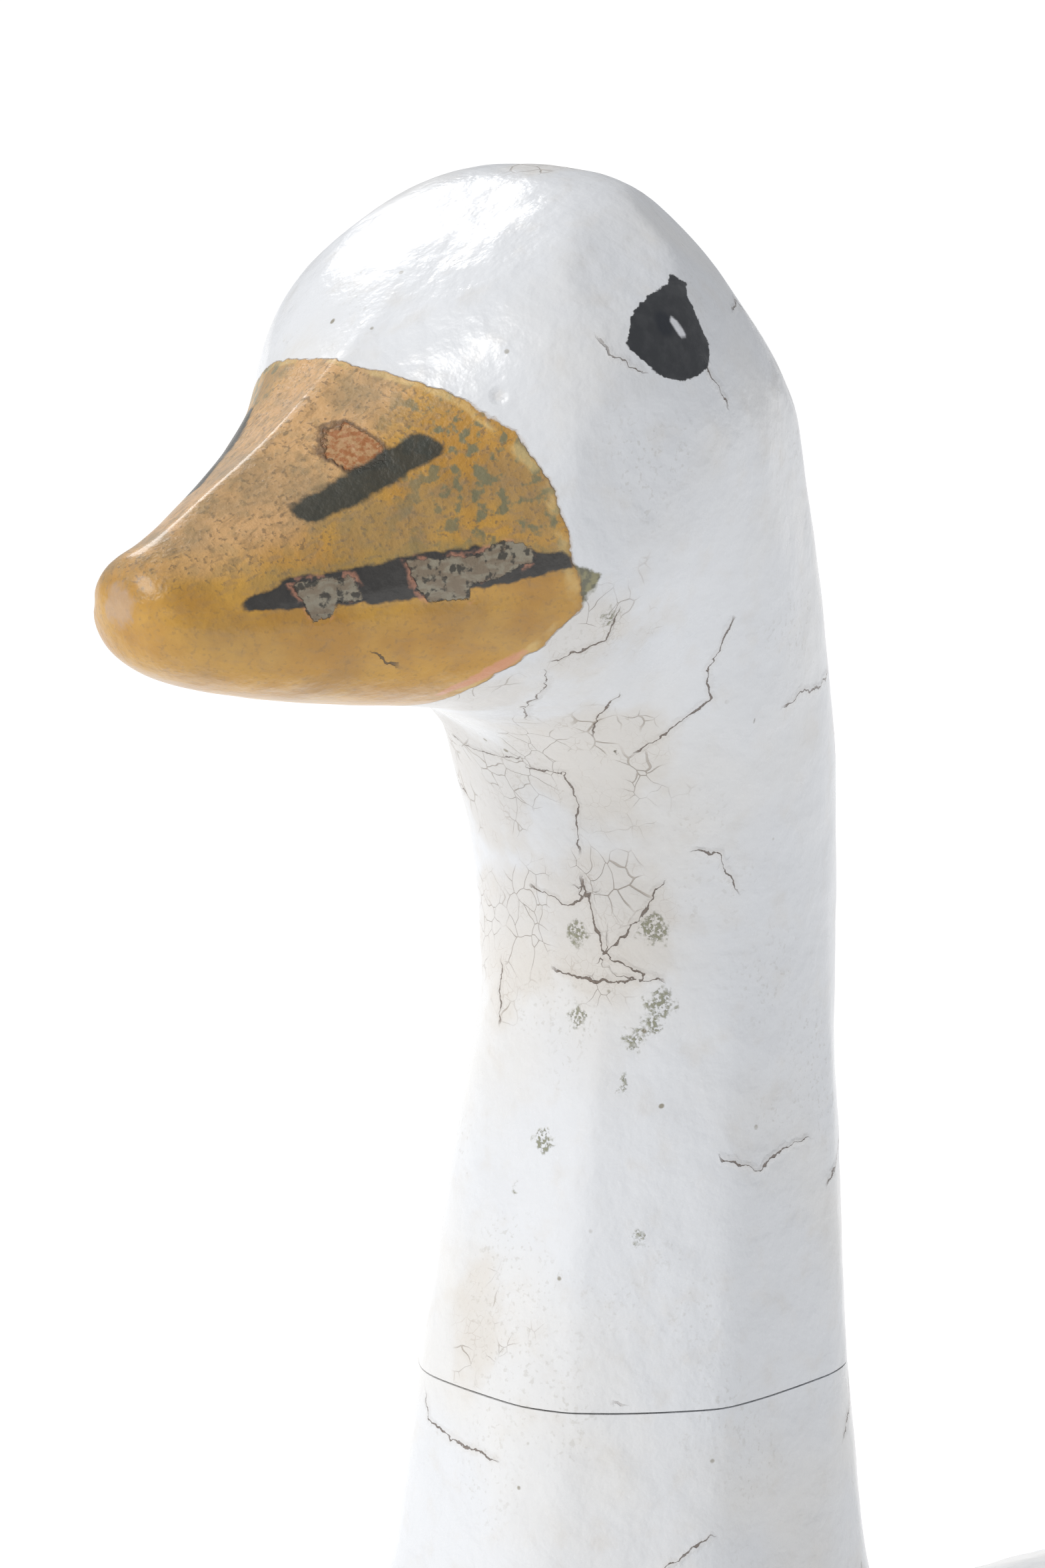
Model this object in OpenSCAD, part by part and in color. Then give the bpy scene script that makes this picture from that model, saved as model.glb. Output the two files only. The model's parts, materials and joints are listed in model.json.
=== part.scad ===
// Hollow wooden goose decoy with a lift-off, turning head and neck.
// It stands on its flat bottom. +Z is up, the bird faces -Y, its left side is +X.
// The origin is on the ground, in the middle of the bounding box.

/* [Body] */
// Length of the carved body, breast to rump
body_l = 512; // [430:2:620]
// Width of the body
body_w = 250; // [215:1:300]
// Height of the back above the ground
body_h = 170; // [140:1:205]
// Height of the glue line between the two body halves
split_z = 88; // [76:1:100]
// Thickness of the hollowed walls at the widest place
wall = 34; // [28:1:42]
// Solid wood ahead of the hollow
front_wall = 70; // [62:1:90]
// Solid wood behind the hollow
rear_wall = 98; // [90:1:120]
// Thickness of the back above the hollow
roof_wall = 36; // [32:1:44]
// Thickness of the bottom board
board_t = 20; // [16:1:24]

/* [Neck] */
// Distance of the neck axis behind the front of the breast
neck_back = 97; // [85:1:115]
// Height of the lower neck block, from its seat to the turning seam
base_h = 112; // [95:1:130]
// Depth of the seat of the lower neck block below the back
seat_depth = 24; // [18:1:30]
// Width of the neck at the turning seam
neck_w = 65; // [58:1:78]
// Gap between the two faces of the turning seam
seam_gap = 0.3; // [0.2:0.1:1]
// Diameter of the hardwood post that carries the head
post_d = 24; // [18:0.5:29]
// Length of the post below the seam
spigot_l = 85; // [60:1:90]
// Length of the post above the seam
post_up = 84; // [60:1:90]
// Running clearance of the post in its bush, all round
post_fit = 0.08; // [0.04:0.01:0.1]
// Wall of the brass neck bush
bush_wall = 2; // [1.5:0.5:3]
// Diameter of the leather washer in the turning seam
washer_od = 46; // [42:1:50]
// Thickness of the leather washer
leather_t = 2.5; // [2:0.5:4]

/* [Head] */
// Width of the head
head_w = 84; // [70:1:100]
// Height of the crown above the seam
head_h = 201; // [180:1:240]
// Reach of the bill ahead of the neck axis
bill_reach = 117; // [100:1:140]
// Height of the mouth above the seam
mouth_h = 141; // [138:1:144]
// Diameter of the dowel that ties the bill to the head
bill_dowel_d = 12; // [8:1:16]
// Length of the bill dowel on each side of the joint
bill_dowel_l = 26; // [18:1:30]
// Diameter of the plug in the crown
plug_d = 22; // [18:1:28]
// Depth of the plug hole below the crown
plug_depth = 18; // [14:1:24]
// Lean of the head screw, forward at the top
screw_lean = 13; // [8:1:16]
// Diameter of the head screw's shank
head_screw_d = 8; // [6:1:10]
// Height of the head screw's foot above the seam
screw_foot = 62; // [56:1:70]

/* [Tail and wings] */
// Reach of the tail behind the rump
tail_reach = 32; // [20:1:60]
// Width of the tail at its end
tail_w = 120; // [90:1:150]
// Thickness of the tail board
tail_t = 9; // [7:1:12]
// Length of the tail board let into the rump
tail_let = 50; // [40:1:60]
// Height of the tail board's bed above the body's glue line
tail_bed = 3; // [2:0.5:8]
// Length of a wing tip
tip_l = 132; // [110:1:140]
// Width of a wing tip
tip_w = 44; // [34:1:54]
// Thickness of a wing tip
tip_t = 8; // [6:1:10]
// Distance of a wing tip's root ahead of the rump
tip_ahead = 112; // [104:1:120]
// Height of a wing tip's point above the tail board
tip_over_tail = 11.7; // [9:0.1:15]

/* [Fastenings] */
// Diameter of the dowels in the body
dowel_d = 10; // [8:1:12]
// Length of the dowels in the body
dowel_l = 40; // [30:1:50]
// Diameter of the tail's dowels
tail_dowel_d = 6; // [4:1:8]
// Diameter of the bottom board's screws
board_screw_d = 4.5; // [3.5:0.5:5]
// Length of the bottom board's screws
board_screw_l = 50; // [35:1:60]
// Diameter of the small screws
small_screw_d = 3; // [2.5:0.5:3.5]

/* [Weight, stake and line] */
// Length of the lead weight
weight_l = 130; // [100:1:160]
// Width of the lead weight
weight_w = 50; // [40:1:60]
// Thickness of the lead weight
weight_t = 9; // [6:1:10]
// Diameter of the stake that the socket takes
stake_d = 16; // [12:1:20]
// Depth of the stake socket
stake_depth = 80; // [60:1:90]
// Wall of the stake socket
socket_wall = 1.5; // [1:0.5:2.5]
// Diameter of the socket's flange
flange_d = 46; // [40:1:60]
// Distance of the stake socket ahead of the body's middle
socket_ahead = 70; // [66:1:80]
// Distance of the weight behind the body's middle
weight_behind = 62; // [56:1:70]
// Height of the tie eye above the ground
eye_z = 52; // [46:1:60]
// Inside diameter of the tie eye
eye_id = 11; // [9:1:14]
// Outside diameter of the tie ring
ring_od = 30; // [26:1:40]
// Wire diameter of the tie eye and the tie ring
wire_d = 3; // [2.5:0.5:3.5]

/* [Hidden] */
$fn = 48;

// Facets of the carved shapes: points round a section, steps between two given sections
SIDES = 36;
STEPS = 3;
BIG = 1000;
EPS = 0.01;

// Places that follow from the sizes above
body_mid = (bill_reach - neck_back - tail_reach) / 2;
breast_y = body_mid - body_l / 2;
rump_y = body_mid + body_l / 2;
neck_y = breast_y + neck_back;
seat_z = body_h - seat_depth;
seam_z = seat_z + base_h;
head_z = seam_z + seam_gap;
seat_proud = 1;
seat_top = body_h + seat_proud;
mouth_z = seam_z + mouth_h;

white_paint = "#e4e7ec";
bill_paint = "#c8963e";
bare_wood = "#c9a877";
hard_wood = "#a77c4c";
brass = "#c2a14e";
steel = "#9a9d9f";
lead = "#6f7377";
leather = "#7a4a2a";

// Sections of the head and neck above the seam, from the bill's tip back over the crown and down
// the neck, for the nominal sizes. Each lies in one plane through a lower and an upper point:
// [y low, z low, y high, z high, half width, where it is widest, squareness high, squareness low]
HEAD_W0 = 84;
HEAD_H0 = 201;
REACH0 = 117;
NECK_W0 = 65;
head_rows = [
    [-117, 138, -117, 143, 4, 0.5, 2, 2],
    [-114, 132, -114.5, 148, 9.5, 0.45, 2, 2],
    [-106, 128, -107, 151, 14, 0.42, 1.9, 2],
    [-95, 125, -97, 156.5, 19, 0.4, 1.9, 2.2],
    [-81, 122, -83, 165, 25, 0.38, 2, 2.2],
    [-66, 120, -66, 176, 32.5, 0.4, 2.3, 2.2],
    [-52, 117, -50, 188, 40.5, 0.45, 2.8, 2.2],
    [-40, 112, -28, 201, 42.5, 0.5, 2.5, 2.1],
    [-33, 105, -11, 199, 41, 0.52, 2.3, 2.1],
    [-29, 97, 2, 183, 39, 0.52, 2.3, 2],
    [-27, 87, 12, 160, 36.5, 0.5, 2.2, 2],
    [-26, 76, 22, 132, 33, 0.5, 2.2, 2.1]
];
neck_rows = [
    [-27, 62, 28, 97, 30.5, 0.5, 2.2, 2.2],
    [-31, 40, 29, 54, 30, 0.5, 2.2, 2.2],
    [-39, 0, 30, 0, 32.5, 0.5, 2.2, 2.2]
];
// Section with the bill's joint, and section with the joint of head and neck, as row numbers
BILL_ROW = 5;
JAW_ROW = 11;
// Sections of the lower neck block: share of the way from the seam down to the back, y front,
// y rear, half width, how much lower the front is than the rear
base_rows = [
    [0, -39, 30, 32.5, 0],
    [0.32, -44, 32, 36, 0],
    [0.65, -51, 37, 42, 2],
    [0.85, -57, 43, 48, 8],
    [0.95, -62, 49, 54, 15],
    [1, -68, 57, 61, 20]
];
// Sections of the body: share of its length from the middle, share of its half width, height of
// the keel line and of the back line as shares of its height. The keel line below 0 is cut flat.
body_rows = [
    [-0.5, 0.05, 0.46, 0.56],
    [-0.488, 0.36, 0.3, 0.73],
    [-0.457, 0.61, 0.12, 0.85],
    [-0.408, 0.79, -0.05, 0.93],
    [-0.36, 0.89, -0.14, 0.965],
    [-0.28, 0.965, -0.19, 0.99],
    [-0.18, 1, -0.2, 1],
    [-0.06, 1, -0.2, 1],
    [0.06, 0.965, -0.2, 0.97],
    [0.17, 0.88, -0.18, 0.91],
    [0.265, 0.75, -0.1, 0.83],
    [0.35, 0.59, 0.04, 0.745],
    [0.42, 0.43, 0.2, 0.67],
    [0.475, 0.24, 0.36, 0.6],
    [0.5, 0.06, 0.45, 0.55]
];
BODY_WIDEST = 0.48;
BODY_SQUARE_TOP = 2.2;
BODY_SQUARE_LOW = 2.6;

// Smooth curve through four given sections, at share t between the middle two
function curve(p0, p1, p2, p3, t) = 0.5 * (2 * p1 + (p2 - p0) * t
    + (2 * p0 - 5 * p1 + 4 * p2 - p3) * t * t + (3 * p1 - p0 - 3 * p2 + p3) * t * t * t);

function row(rows, i) = rows[max(0, min(i, len(rows) - 1))];

// Given sections with STEPS - 1 smooth ones between each two
function faired(rows) = [
    for (i = [0:len(rows) - 2])
        for (j = [0:STEPS - 1])
            curve(row(rows, i - 1), row(rows, i), row(rows, i + 1), row(rows, i + 2), j / STEPS),
    row(rows, len(rows))
];

function part_of(list, first, last) = [for (i = [first:last]) list[i]];

function signed_pow(v, e) = sign(v) * pow(abs(v), e);

// One closed section as points, from its highest point round by +X
function section(q) = [
    for (i = [0:SIDES - 1])
        let (
            a = 360 * i / SIDES,
            e = 2 / (cos(a) > 0 ? q[6] : q[7]),
            span = cos(a) > 0 ? 1 - q[5] : q[5],
            u = q[5] + span * signed_pow(cos(a), e)
        )
        [q[4] * signed_pow(sin(a), e), q[0] + (q[2] - q[0]) * u, q[1] + (q[3] - q[1]) * u]
];

function quad(i, j) =
    let (
        a = i * SIDES + j,
        b = i * SIDES + (j + 1) % SIDES
    )
    [[a, a + SIDES, b + SIDES], [a, b + SIDES, b]];

// Solid through a list of sections, closed flat at both ends
module loft(sections) {
    last = len(sections) - 1;
    polyhedron(
        points = [for (s = sections) each s],
        faces = [
            [for (j = [0:SIDES - 1]) j],
            [for (j = [0:SIDES - 1]) (last + 1) * SIDES - 1 - j],
            for (i = [0:last - 1])
                for (j = [0:SIDES - 1])
                    each quad(i, j)
        ]
    );
}

// Head and neck sections at their real size and place
function placed_head(q, sy, sx) = [
    neck_y + q[0] * sy, head_z + q[1] * head_h / HEAD_H0, neck_y + q[2] * sy,
    head_z + q[3] * head_h / HEAD_H0, q[4] * sx, q[5], q[6], q[7]
];
head_sections = [
    for (q = faired(concat(
        [for (q = head_rows) placed_head(q, bill_reach / REACH0, head_w / HEAD_W0)],
        [for (q = neck_rows) placed_head(q, neck_w / NECK_W0, neck_w / NECK_W0)]
    )))
        section(q)
];
BILL_SECTION = BILL_ROW * STEPS;
JAW_SECTION = JAW_ROW * STEPS;

base_outline_k = neck_w / NECK_W0;
base_sections = [
    for (q = faired([
        for (q = base_rows)
            let (z = seam_z - q[0] * (seam_z - seat_top))
            [neck_y + q[1] * base_outline_k, z - q[4], neck_y + q[2] * base_outline_k, z,
             q[3] * base_outline_k, 0.5, 2.2, 2.2]
    ]))
        section(q)
];
seat_outline = [for (p = base_sections[len(base_sections) - 1]) [p[0], p[1]]];
seat_section = [for (p = seat_outline) [p[0], p[1], seat_z]];

body_sections = [
    for (q = faired([
        for (q = body_rows)
            let (y = body_mid + q[0] * body_l)
            [y, q[2] * body_h, y, q[3] * body_h, q[1] * body_w / 2, BODY_WIDEST,
             BODY_SQUARE_TOP, BODY_SQUARE_LOW]
    ]))
        section(q)
];

// Places of the pieces in the head
screw_foot_z = head_z + screw_foot;
plug_floor = head_z + head_h - plug_depth;
plug_gap = 1;
washer_t = 2;
screw_head_t = 5;
screw_floor = (plug_floor - screw_foot_z) / cos(screw_lean);

// Leather washer in its recess, which is a little shallower than the leather is thick
washer_squeeze = 0.1;
washer_recess = leather_t - seam_gap + washer_squeeze;
loose = 0.3;
bush_below = 2;
bush_bottom = head_z - spigot_l - bush_below;
bush_id = post_d + 2 * post_fit;
bush_od = bush_id + 2 * bush_wall;

// Hollow in the body, with a narrower step under the roof
pocket_r = body_w / 2 - wall;
pocket_front = breast_y + front_wall + pocket_r;
pocket_rear = rump_y - rear_wall - pocket_r;
roof_step = 18;
roof_inset = 30;
roof_2 = body_h - roof_wall;
roof_1 = roof_2 - roof_step;

// Dowels between the two body halves: four at the sides, one at each end
dowel_inset = 4;
dowel_x = pocket_r + dowel_d / 2 + dowel_inset;
dowel_step = 34;
dowel_spots = [
    [dowel_x, pocket_front + dowel_step], [-dowel_x, pocket_front + dowel_step],
    [dowel_x, pocket_rear - dowel_step], [-dowel_x, pocket_rear - dowel_step],
    [0, pocket_front - dowel_x - dowel_inset], [0, pocket_rear + dowel_x + dowel_inset]
];

// Screws of the bottom board, round the rim of the hollow
screw_sink = 0.4;
rim = 8;
rim_x = pocket_r + rim;
screw_spots = [
    [rim_x, pocket_front - rim], [-rim_x, pocket_front - rim],
    [rim_x, (pocket_front + pocket_rear) / 2], [-rim_x, (pocket_front + pocket_rear) / 2],
    [rim_x - rim / 2, pocket_rear - rim], [rim / 2 - rim_x, pocket_rear - rim],
    [0, pocket_front - pocket_r - 2 * rim], [0, pocket_rear + pocket_r + board_screw_d]
];

// Weight and stake socket, along the middle of the bottom board
board_skin = 2;
weight_y = body_mid + weight_behind;
weight_gap = 0.5;
weight_screw_inset = 18;
weight_screws = [weight_screw_inset - weight_l / 2, weight_l / 2 - weight_screw_inset];
socket_y = body_mid - socket_ahead;
socket_gap = 0.4;
socket_cap = 2;
flange_t = 2;
socket_od = stake_d + 2 * socket_wall;
block_w = 60;
block_short = 6;
flange_screw_r = flange_d / 2 - 6;
flange_screw_l = 16;
flange_angles = [90, 210, 330];

// Two dowels under the lower neck block, ahead of and behind the bush
base_dowel_ys = [neck_y - bush_od / 2 - 24, neck_y + bush_od / 2 + 18];
base_dowel_reach = 8;

// Tail, and the wing tips that lie over it
tail_root_y = rump_y - tail_let;
tail_z = split_z + tail_bed + tail_t / 2;
tail_rise = 4;
tail_dowel_x = 14;
tail_dowel_y = tail_root_y + 12;
tail_dowel_l = 17;
tail_dowel_top = tail_z + tail_t / 2 - 2;
tip_root_y = rump_y - tip_ahead;
tip_x = 22;
tip_root_z = body_h * 0.765;
tip_end_z = tail_z + tail_t / 2 + tip_over_tail;
tip_droop = asin((tip_root_z - tip_end_z) / tip_l);
tip_roll = 22;
tip_splay = 8;

// Tie eye in the breast
eye_y = breast_y - 2;
eye_shank = 34;
eye_shank_d = wire_d + 1;
ring_r = (ring_od - wire_d) / 2;
eye_r = (eye_id + wire_d) / 2;

module above(z) {
    translate([-BIG / 2, -BIG / 2, z])
        cube(BIG);
}

module below(z) {
    translate([-BIG / 2, -BIG / 2, z - BIG])
        cube(BIG);
}

// Everything on the head screw's axis, which starts inside the neck post
module on_screw_axis() {
    translate([0, neck_y, screw_foot_z])
        rotate([screw_lean, 0, 0])
            children();
}

// Screw with a countersunk head, pointing up from z = 0
module screw_up(d, l) {
    cylinder(h = l, d = d);
    cylinder(h = d / 2, d1 = 2 * d, d2 = d);
}

// Hole for such a screw
module screw_hole(d, l) {
    translate([0, 0, -1])
        cylinder(h = l + 1, d = d);
    cylinder(h = d / 2, d1 = 2 * d, d2 = d);
    translate([0, 0, -1])
        cylinder(h = 1 + EPS, d = 2 * d);
}

module stadium(r, z1, z2) {
    for (y = [pocket_front, pocket_rear])
        translate([0, y, z1])
            cylinder(h = z2 - z1, r = r);
    translate([-r, pocket_front, z1])
        cube([2 * r, pocket_rear - pocket_front, z2 - z1]);
}

module post_cylinder(d) {
    translate([0, neck_y, head_z - spigot_l])
        cylinder(h = spigot_l + post_up, d = d);
}

module bill_dowel_cylinder() {
    translate([0, neck_y + head_rows[BILL_ROW][0] * bill_reach / REACH0 - bill_dowel_l, mouth_z])
        rotate([-90, 0, 0])
            cylinder(h = 2 * bill_dowel_l, d = bill_dowel_d);
}

// Head

module head_block() {
    color(white_paint)
        difference() {
            loft(part_of(head_sections, BILL_SECTION, JAW_SECTION));
            bill_dowel_cylinder();
            on_screw_axis() {
                cylinder(h = screw_floor + 1, d = head_screw_d);
                translate([0, 0, screw_floor])
                    cylinder(h = 3 * plug_depth, d = plug_d);
            }
            post_cylinder(post_d);
        }
}

module bill_half(upper) {
    color(bill_paint)
        difference() {
            intersection() {
                loft(part_of(head_sections, 0, BILL_SECTION));
                if (upper)
                    above(mouth_z);
                else
                    below(mouth_z);
            }
            bill_dowel_cylinder();
        }
}

module upper_mandible() {
    bill_half(true);
}

module lower_mandible() {
    bill_half(false);
}

module bill_dowel() {
    color(hard_wood)
        bill_dowel_cylinder();
}

module upper_neck() {
    color(white_paint)
        difference() {
            loft(part_of(head_sections, JAW_SECTION, len(head_sections) - 1));
            post_cylinder(post_d);
            on_screw_axis()
                cylinder(h = screw_floor, d = head_screw_d);
        }
}

module head_post() {
    color(hard_wood)
        difference() {
            post_cylinder(post_d);
            on_screw_axis()
                cylinder(h = screw_floor, d = head_screw_d);
        }
}

module head_screw() {
    color(steel)
        on_screw_axis() {
            cylinder(h = screw_floor + washer_t, d = head_screw_d);
            translate([0, 0, screw_floor + washer_t])
                cylinder(h = screw_head_t, d = 1.6 * head_screw_d, $fn = 6);
        }
}

module screw_washer() {
    color(steel)
        on_screw_axis()
            translate([0, 0, screw_floor])
                difference() {
                    cylinder(h = washer_t, d = plug_d - plug_gap);
                    translate([0, 0, -1])
                        cylinder(h = washer_t + 2, d = head_screw_d);
                }
}

module crown_plug() {
    color(white_paint)
        intersection() {
            loft(part_of(head_sections, BILL_SECTION, JAW_SECTION));
            on_screw_axis()
                translate([0, 0, screw_floor + washer_t + screw_head_t])
                    cylinder(h = 3 * plug_depth, d = plug_d);
        }
}

// Turning seam

module friction_washer() {
    color(leather)
        translate([0, neck_y, head_z - leather_t])
            difference() {
                cylinder(h = leather_t, d = washer_od);
                translate([0, 0, -1])
                    cylinder(h = leather_t + 2, d = bush_id);
            }
}

// Lower neck

module neck_base() {
    color(white_paint)
        difference() {
            loft(concat(base_sections, [seat_section]));
            translate([0, neck_y, seam_z - washer_recess])
                cylinder(h = BIG, d = washer_od + 2 * loose);
            bush_cylinder();
            base_dowels();
        }
}

module bush_cylinder() {
    translate([0, neck_y, bush_bottom])
        cylinder(h = seam_z - washer_recess - bush_bottom, d = bush_od);
}

module neck_bush() {
    color(brass)
        difference() {
            bush_cylinder();
            translate([0, neck_y, bush_bottom - 1])
                cylinder(h = BIG, d = bush_id);
        }
}

module base_dowels() {
    for (y = base_dowel_ys)
        translate([0, y, seat_z - base_dowel_reach])
            cylinder(h = dowel_l, d = dowel_d);
}

module neck_base_dowels() {
    color(hard_wood)
        base_dowels();
}

// Body

module body_form() {
    loft(body_sections);
}

module body_back() {
    color(white_paint)
        difference() {
            intersection() {
                body_form();
                above(split_z);
            }
            translate([0, 0, seat_z])
                linear_extrude(height = BIG)
                    polygon(seat_outline);
            stadium(pocket_r, split_z - 1, roof_1);
            stadium(pocket_r - roof_inset, roof_1 - 1, roof_2);
            base_dowels();
            body_dowel_group();
            rear_boards();
        }
}

module body_belly() {
    color(white_paint)
        difference() {
            intersection() {
                body_form();
                above(board_t);
                below(split_z);
            }
            stadium(pocket_r, board_t - 1, split_z + 1);
            body_dowel_group();
            board_screw_shanks();
            tie_eye_shank();
            rear_boards();
        }
}

// What is let into the rump: tail board, its dowels and the wing tips
module rear_boards() {
    tail_shape();
    tail_dowel_group();
    tip_shape(1);
    tip_shape(-1);
}

module body_dowel_group() {
    for (p = dowel_spots)
        translate([p[0], p[1], split_z - dowel_l / 2])
            cylinder(h = dowel_l, d = dowel_d);
}

module body_dowels() {
    color(hard_wood)
        body_dowel_group();
}

module bottom_board() {
    color(white_paint)
        difference() {
            intersection() {
                body_form();
                above(0);
                below(board_t);
            }
            for (p = screw_spots)
                translate([p[0], p[1], screw_sink])
                    screw_hole(board_screw_d, board_screw_l);
            translate([-weight_w / 2, weight_y - weight_l / 2, -1])
                cube([weight_w, weight_l, 1 + weight_gap + weight_t]);
            for (y = weight_screws)
                translate([0, weight_y + y, 0])
                    cylinder(h = board_t - board_skin, d = small_screw_d);
            translate([0, socket_y, -1])
                cylinder(h = board_t + 2, d = socket_od);
            translate([0, socket_y, -1])
                cylinder(h = 1 + socket_gap + flange_t, d = flange_d);
            flange_screw_group();
        }
}

module board_screw_shanks() {
    for (p = screw_spots)
        translate([p[0], p[1], screw_sink])
            cylinder(h = board_screw_l, d = board_screw_d);
}

module bottom_screws() {
    color(brass)
        for (p = screw_spots)
            translate([p[0], p[1], screw_sink])
                screw_up(board_screw_d, board_screw_l);
}

// Tail and wing tips

// Tail board, seen from above, with its root at the origin and its end at +Y
module tail_shape() {
    translate([0, tail_root_y, tail_z])
        rotate([tail_rise, 0, 0])
            translate([0, 0, -tail_t / 2])
                linear_extrude(height = tail_t)
                    polygon(tail_outline());
}

function tail_outline() =
    let (
        l = (rump_y - tail_root_y + tail_reach) / cos(tail_rise),
        w = tail_w / 2
    )
    [
        [-w * 0.4, 0], [w * 0.4, 0], [w * 0.45, l * 0.3],
        for (a = [60:-12:-60]) [w * sin(a) / sin(60), l - w * 0.5 * (1 - cos(a))],
        [-w * 0.45, l * 0.3]
    ];

module tail_board() {
    color(white_paint)
        difference() {
            tail_shape();
            tail_dowel_group();
            tip_shape(1);
            tip_shape(-1);
        }
}

module tail_dowel_group() {
    for (x = [-tail_dowel_x, tail_dowel_x])
        translate([x, tail_dowel_y, tail_dowel_top - tail_dowel_l])
            cylinder(h = tail_dowel_l, d = tail_dowel_d);
}

module tail_dowels() {
    color(hard_wood)
        tail_dowel_group();
}

// Wing tip on one side: a slender plate that lies along the rump, its root let into the back
module tip_shape(side) {
    translate([side * tip_x, tip_root_y, tip_root_z])
        rotate([-tip_droop, side * tip_roll, side * tip_splay])
            translate([side * tip_w / 2, 0, -tip_t / 2])
                linear_extrude(height = tip_t)
                    polygon([
                        for (p = [[-0.5, 0], [0.5, 0], [0.52, 0.4], [0.36, 0.74], [0.12, 0.94],
                                  [-0.12, 1], [-0.3, 0.94], [-0.44, 0.7], [-0.5, 0.4]])
                            [side * p[0] * tip_w, p[1] * tip_l]
                    ]);
}

module wing_tip_left() {
    color(white_paint)
        tip_shape(1);
}

module wing_tip_right() {
    color(white_paint)
        tip_shape(-1);
}

// Weight

module ballast_weight() {
    color(lead)
        difference() {
            translate([-weight_w / 2, weight_y - weight_l / 2, weight_gap])
                cube([weight_w, weight_l, weight_t]);
            for (y = weight_screws)
                translate([0, weight_y + y, weight_gap])
                    screw_hole(small_screw_d, weight_t + 1);
        }
}

module ballast_screws() {
    color(brass)
        for (y = weight_screws)
            translate([0, weight_y + y, weight_gap])
                screw_up(small_screw_d, board_t - board_skin - weight_gap);
}

// Stake socket

module stake_socket() {
    color(brass)
        translate([0, socket_y, socket_gap])
            difference() {
                union() {
                    cylinder(h = stake_depth + socket_cap, d = socket_od);
                    cylinder(h = flange_t, d = flange_d);
                }
                translate([0, 0, -1])
                    cylinder(h = stake_depth + 1, d = stake_d);
                for (a = flange_angles)
                    rotate([0, 0, a])
                        translate([flange_screw_r, 0, 0])
                            screw_hole(small_screw_d, flange_t + 1);
            }
}

module flange_screw_group() {
    for (a = flange_angles)
        translate([0, socket_y, socket_gap])
            rotate([0, 0, a])
                translate([flange_screw_r, 0, 0])
                    screw_up(small_screw_d, flange_screw_l);
}

module socket_screws() {
    color(brass)
        flange_screw_group();
}

module socket_block() {
    color(bare_wood)
        difference() {
            translate([-block_w / 2, socket_y - block_w / 2, board_t])
                cube([block_w, block_w, stake_depth - board_t - block_short]);
            translate([0, socket_y, 0])
                cylinder(h = BIG, d = socket_od);
        }
}

// Line tie

module tie_eye_shank() {
    translate([0, eye_y, eye_z])
        rotate([-90, 0, 0])
            cylinder(h = eye_shank, d = eye_shank_d);
}

module tie_eye() {
    color(brass)
        union() {
            tie_eye_shank();
            translate([0, eye_y - eye_r, eye_z])
                rotate([0, 90, 0])
                    rotate_extrude()
                        translate([eye_r, 0])
                            circle(d = wire_d);
        }
}

module tie_ring() {
    color(brass)
        translate([0, eye_y - eye_r, eye_z - ring_r - eye_id / 2 + wire_d / 2 + loose])
            rotate([90, 0, 0])
                rotate_extrude()
                    translate([ring_r, 0])
                        circle(d = wire_d);
}

head_block();
upper_mandible();
lower_mandible();
bill_dowel();
upper_neck();
head_post();
head_screw();
screw_washer();
crown_plug();
friction_washer();
neck_base();
neck_bush();
neck_base_dowels();
body_back();
body_belly();
body_dowels();
bottom_board();
bottom_screws();
tail_board();
tail_dowels();
wing_tip_left();
wing_tip_right();
ballast_weight();
ballast_screws();
stake_socket();
socket_block();
socket_screws();
tie_eye();
tie_ring();
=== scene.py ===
"""White goose decoy: sculpted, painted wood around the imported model's frame."""

import json
import math

import bmesh
import bpy
import numpy as np
from mathutils import Matrix, Vector, noise
from mathutils.bvhtree import BVHTree


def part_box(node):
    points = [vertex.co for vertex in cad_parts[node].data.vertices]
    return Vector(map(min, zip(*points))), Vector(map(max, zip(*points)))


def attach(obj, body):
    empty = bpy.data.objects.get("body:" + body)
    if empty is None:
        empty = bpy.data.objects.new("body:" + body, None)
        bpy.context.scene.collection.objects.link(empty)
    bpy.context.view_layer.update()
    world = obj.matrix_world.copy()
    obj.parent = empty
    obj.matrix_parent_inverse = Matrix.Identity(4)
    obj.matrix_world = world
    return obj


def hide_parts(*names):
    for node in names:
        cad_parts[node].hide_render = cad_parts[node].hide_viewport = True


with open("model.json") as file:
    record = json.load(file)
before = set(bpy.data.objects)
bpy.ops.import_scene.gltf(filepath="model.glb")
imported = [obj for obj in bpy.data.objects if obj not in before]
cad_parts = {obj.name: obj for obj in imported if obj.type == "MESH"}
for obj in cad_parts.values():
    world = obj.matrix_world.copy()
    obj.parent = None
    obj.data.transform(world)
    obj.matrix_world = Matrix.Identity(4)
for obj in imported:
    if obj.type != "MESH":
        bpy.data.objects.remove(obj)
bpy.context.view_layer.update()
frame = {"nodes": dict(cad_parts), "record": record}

MM = 0.001
HEAD_VOXEL = 1.0 * MM
BODY_VOXEL = 2.0 * MM
BOARD_VOXEL = 1.0 * MM


# Places, from the frame

def middle(node):
    low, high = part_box(node)
    return (low + high) / 2


NECK_Y = middle("head_post").y
SEAM_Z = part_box("neck_base")[1].z
HEAD_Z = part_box("upper_neck")[0].z
BILL_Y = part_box("upper_mandible")[1].y
MOUTH_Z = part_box("upper_mandible")[0].z
SPLIT_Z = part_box("body_back")[0].z
BOARD_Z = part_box("bottom_board")[1].z
NECK_AXIS = Vector((0, NECK_Y, SEAM_Z))


# Meshes

def added(name, mesh):
    """A new object in the scene, with this mesh."""
    piece = bpy.data.objects.new(name, mesh)
    bpy.context.scene.collection.objects.link(piece)
    return piece


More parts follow.
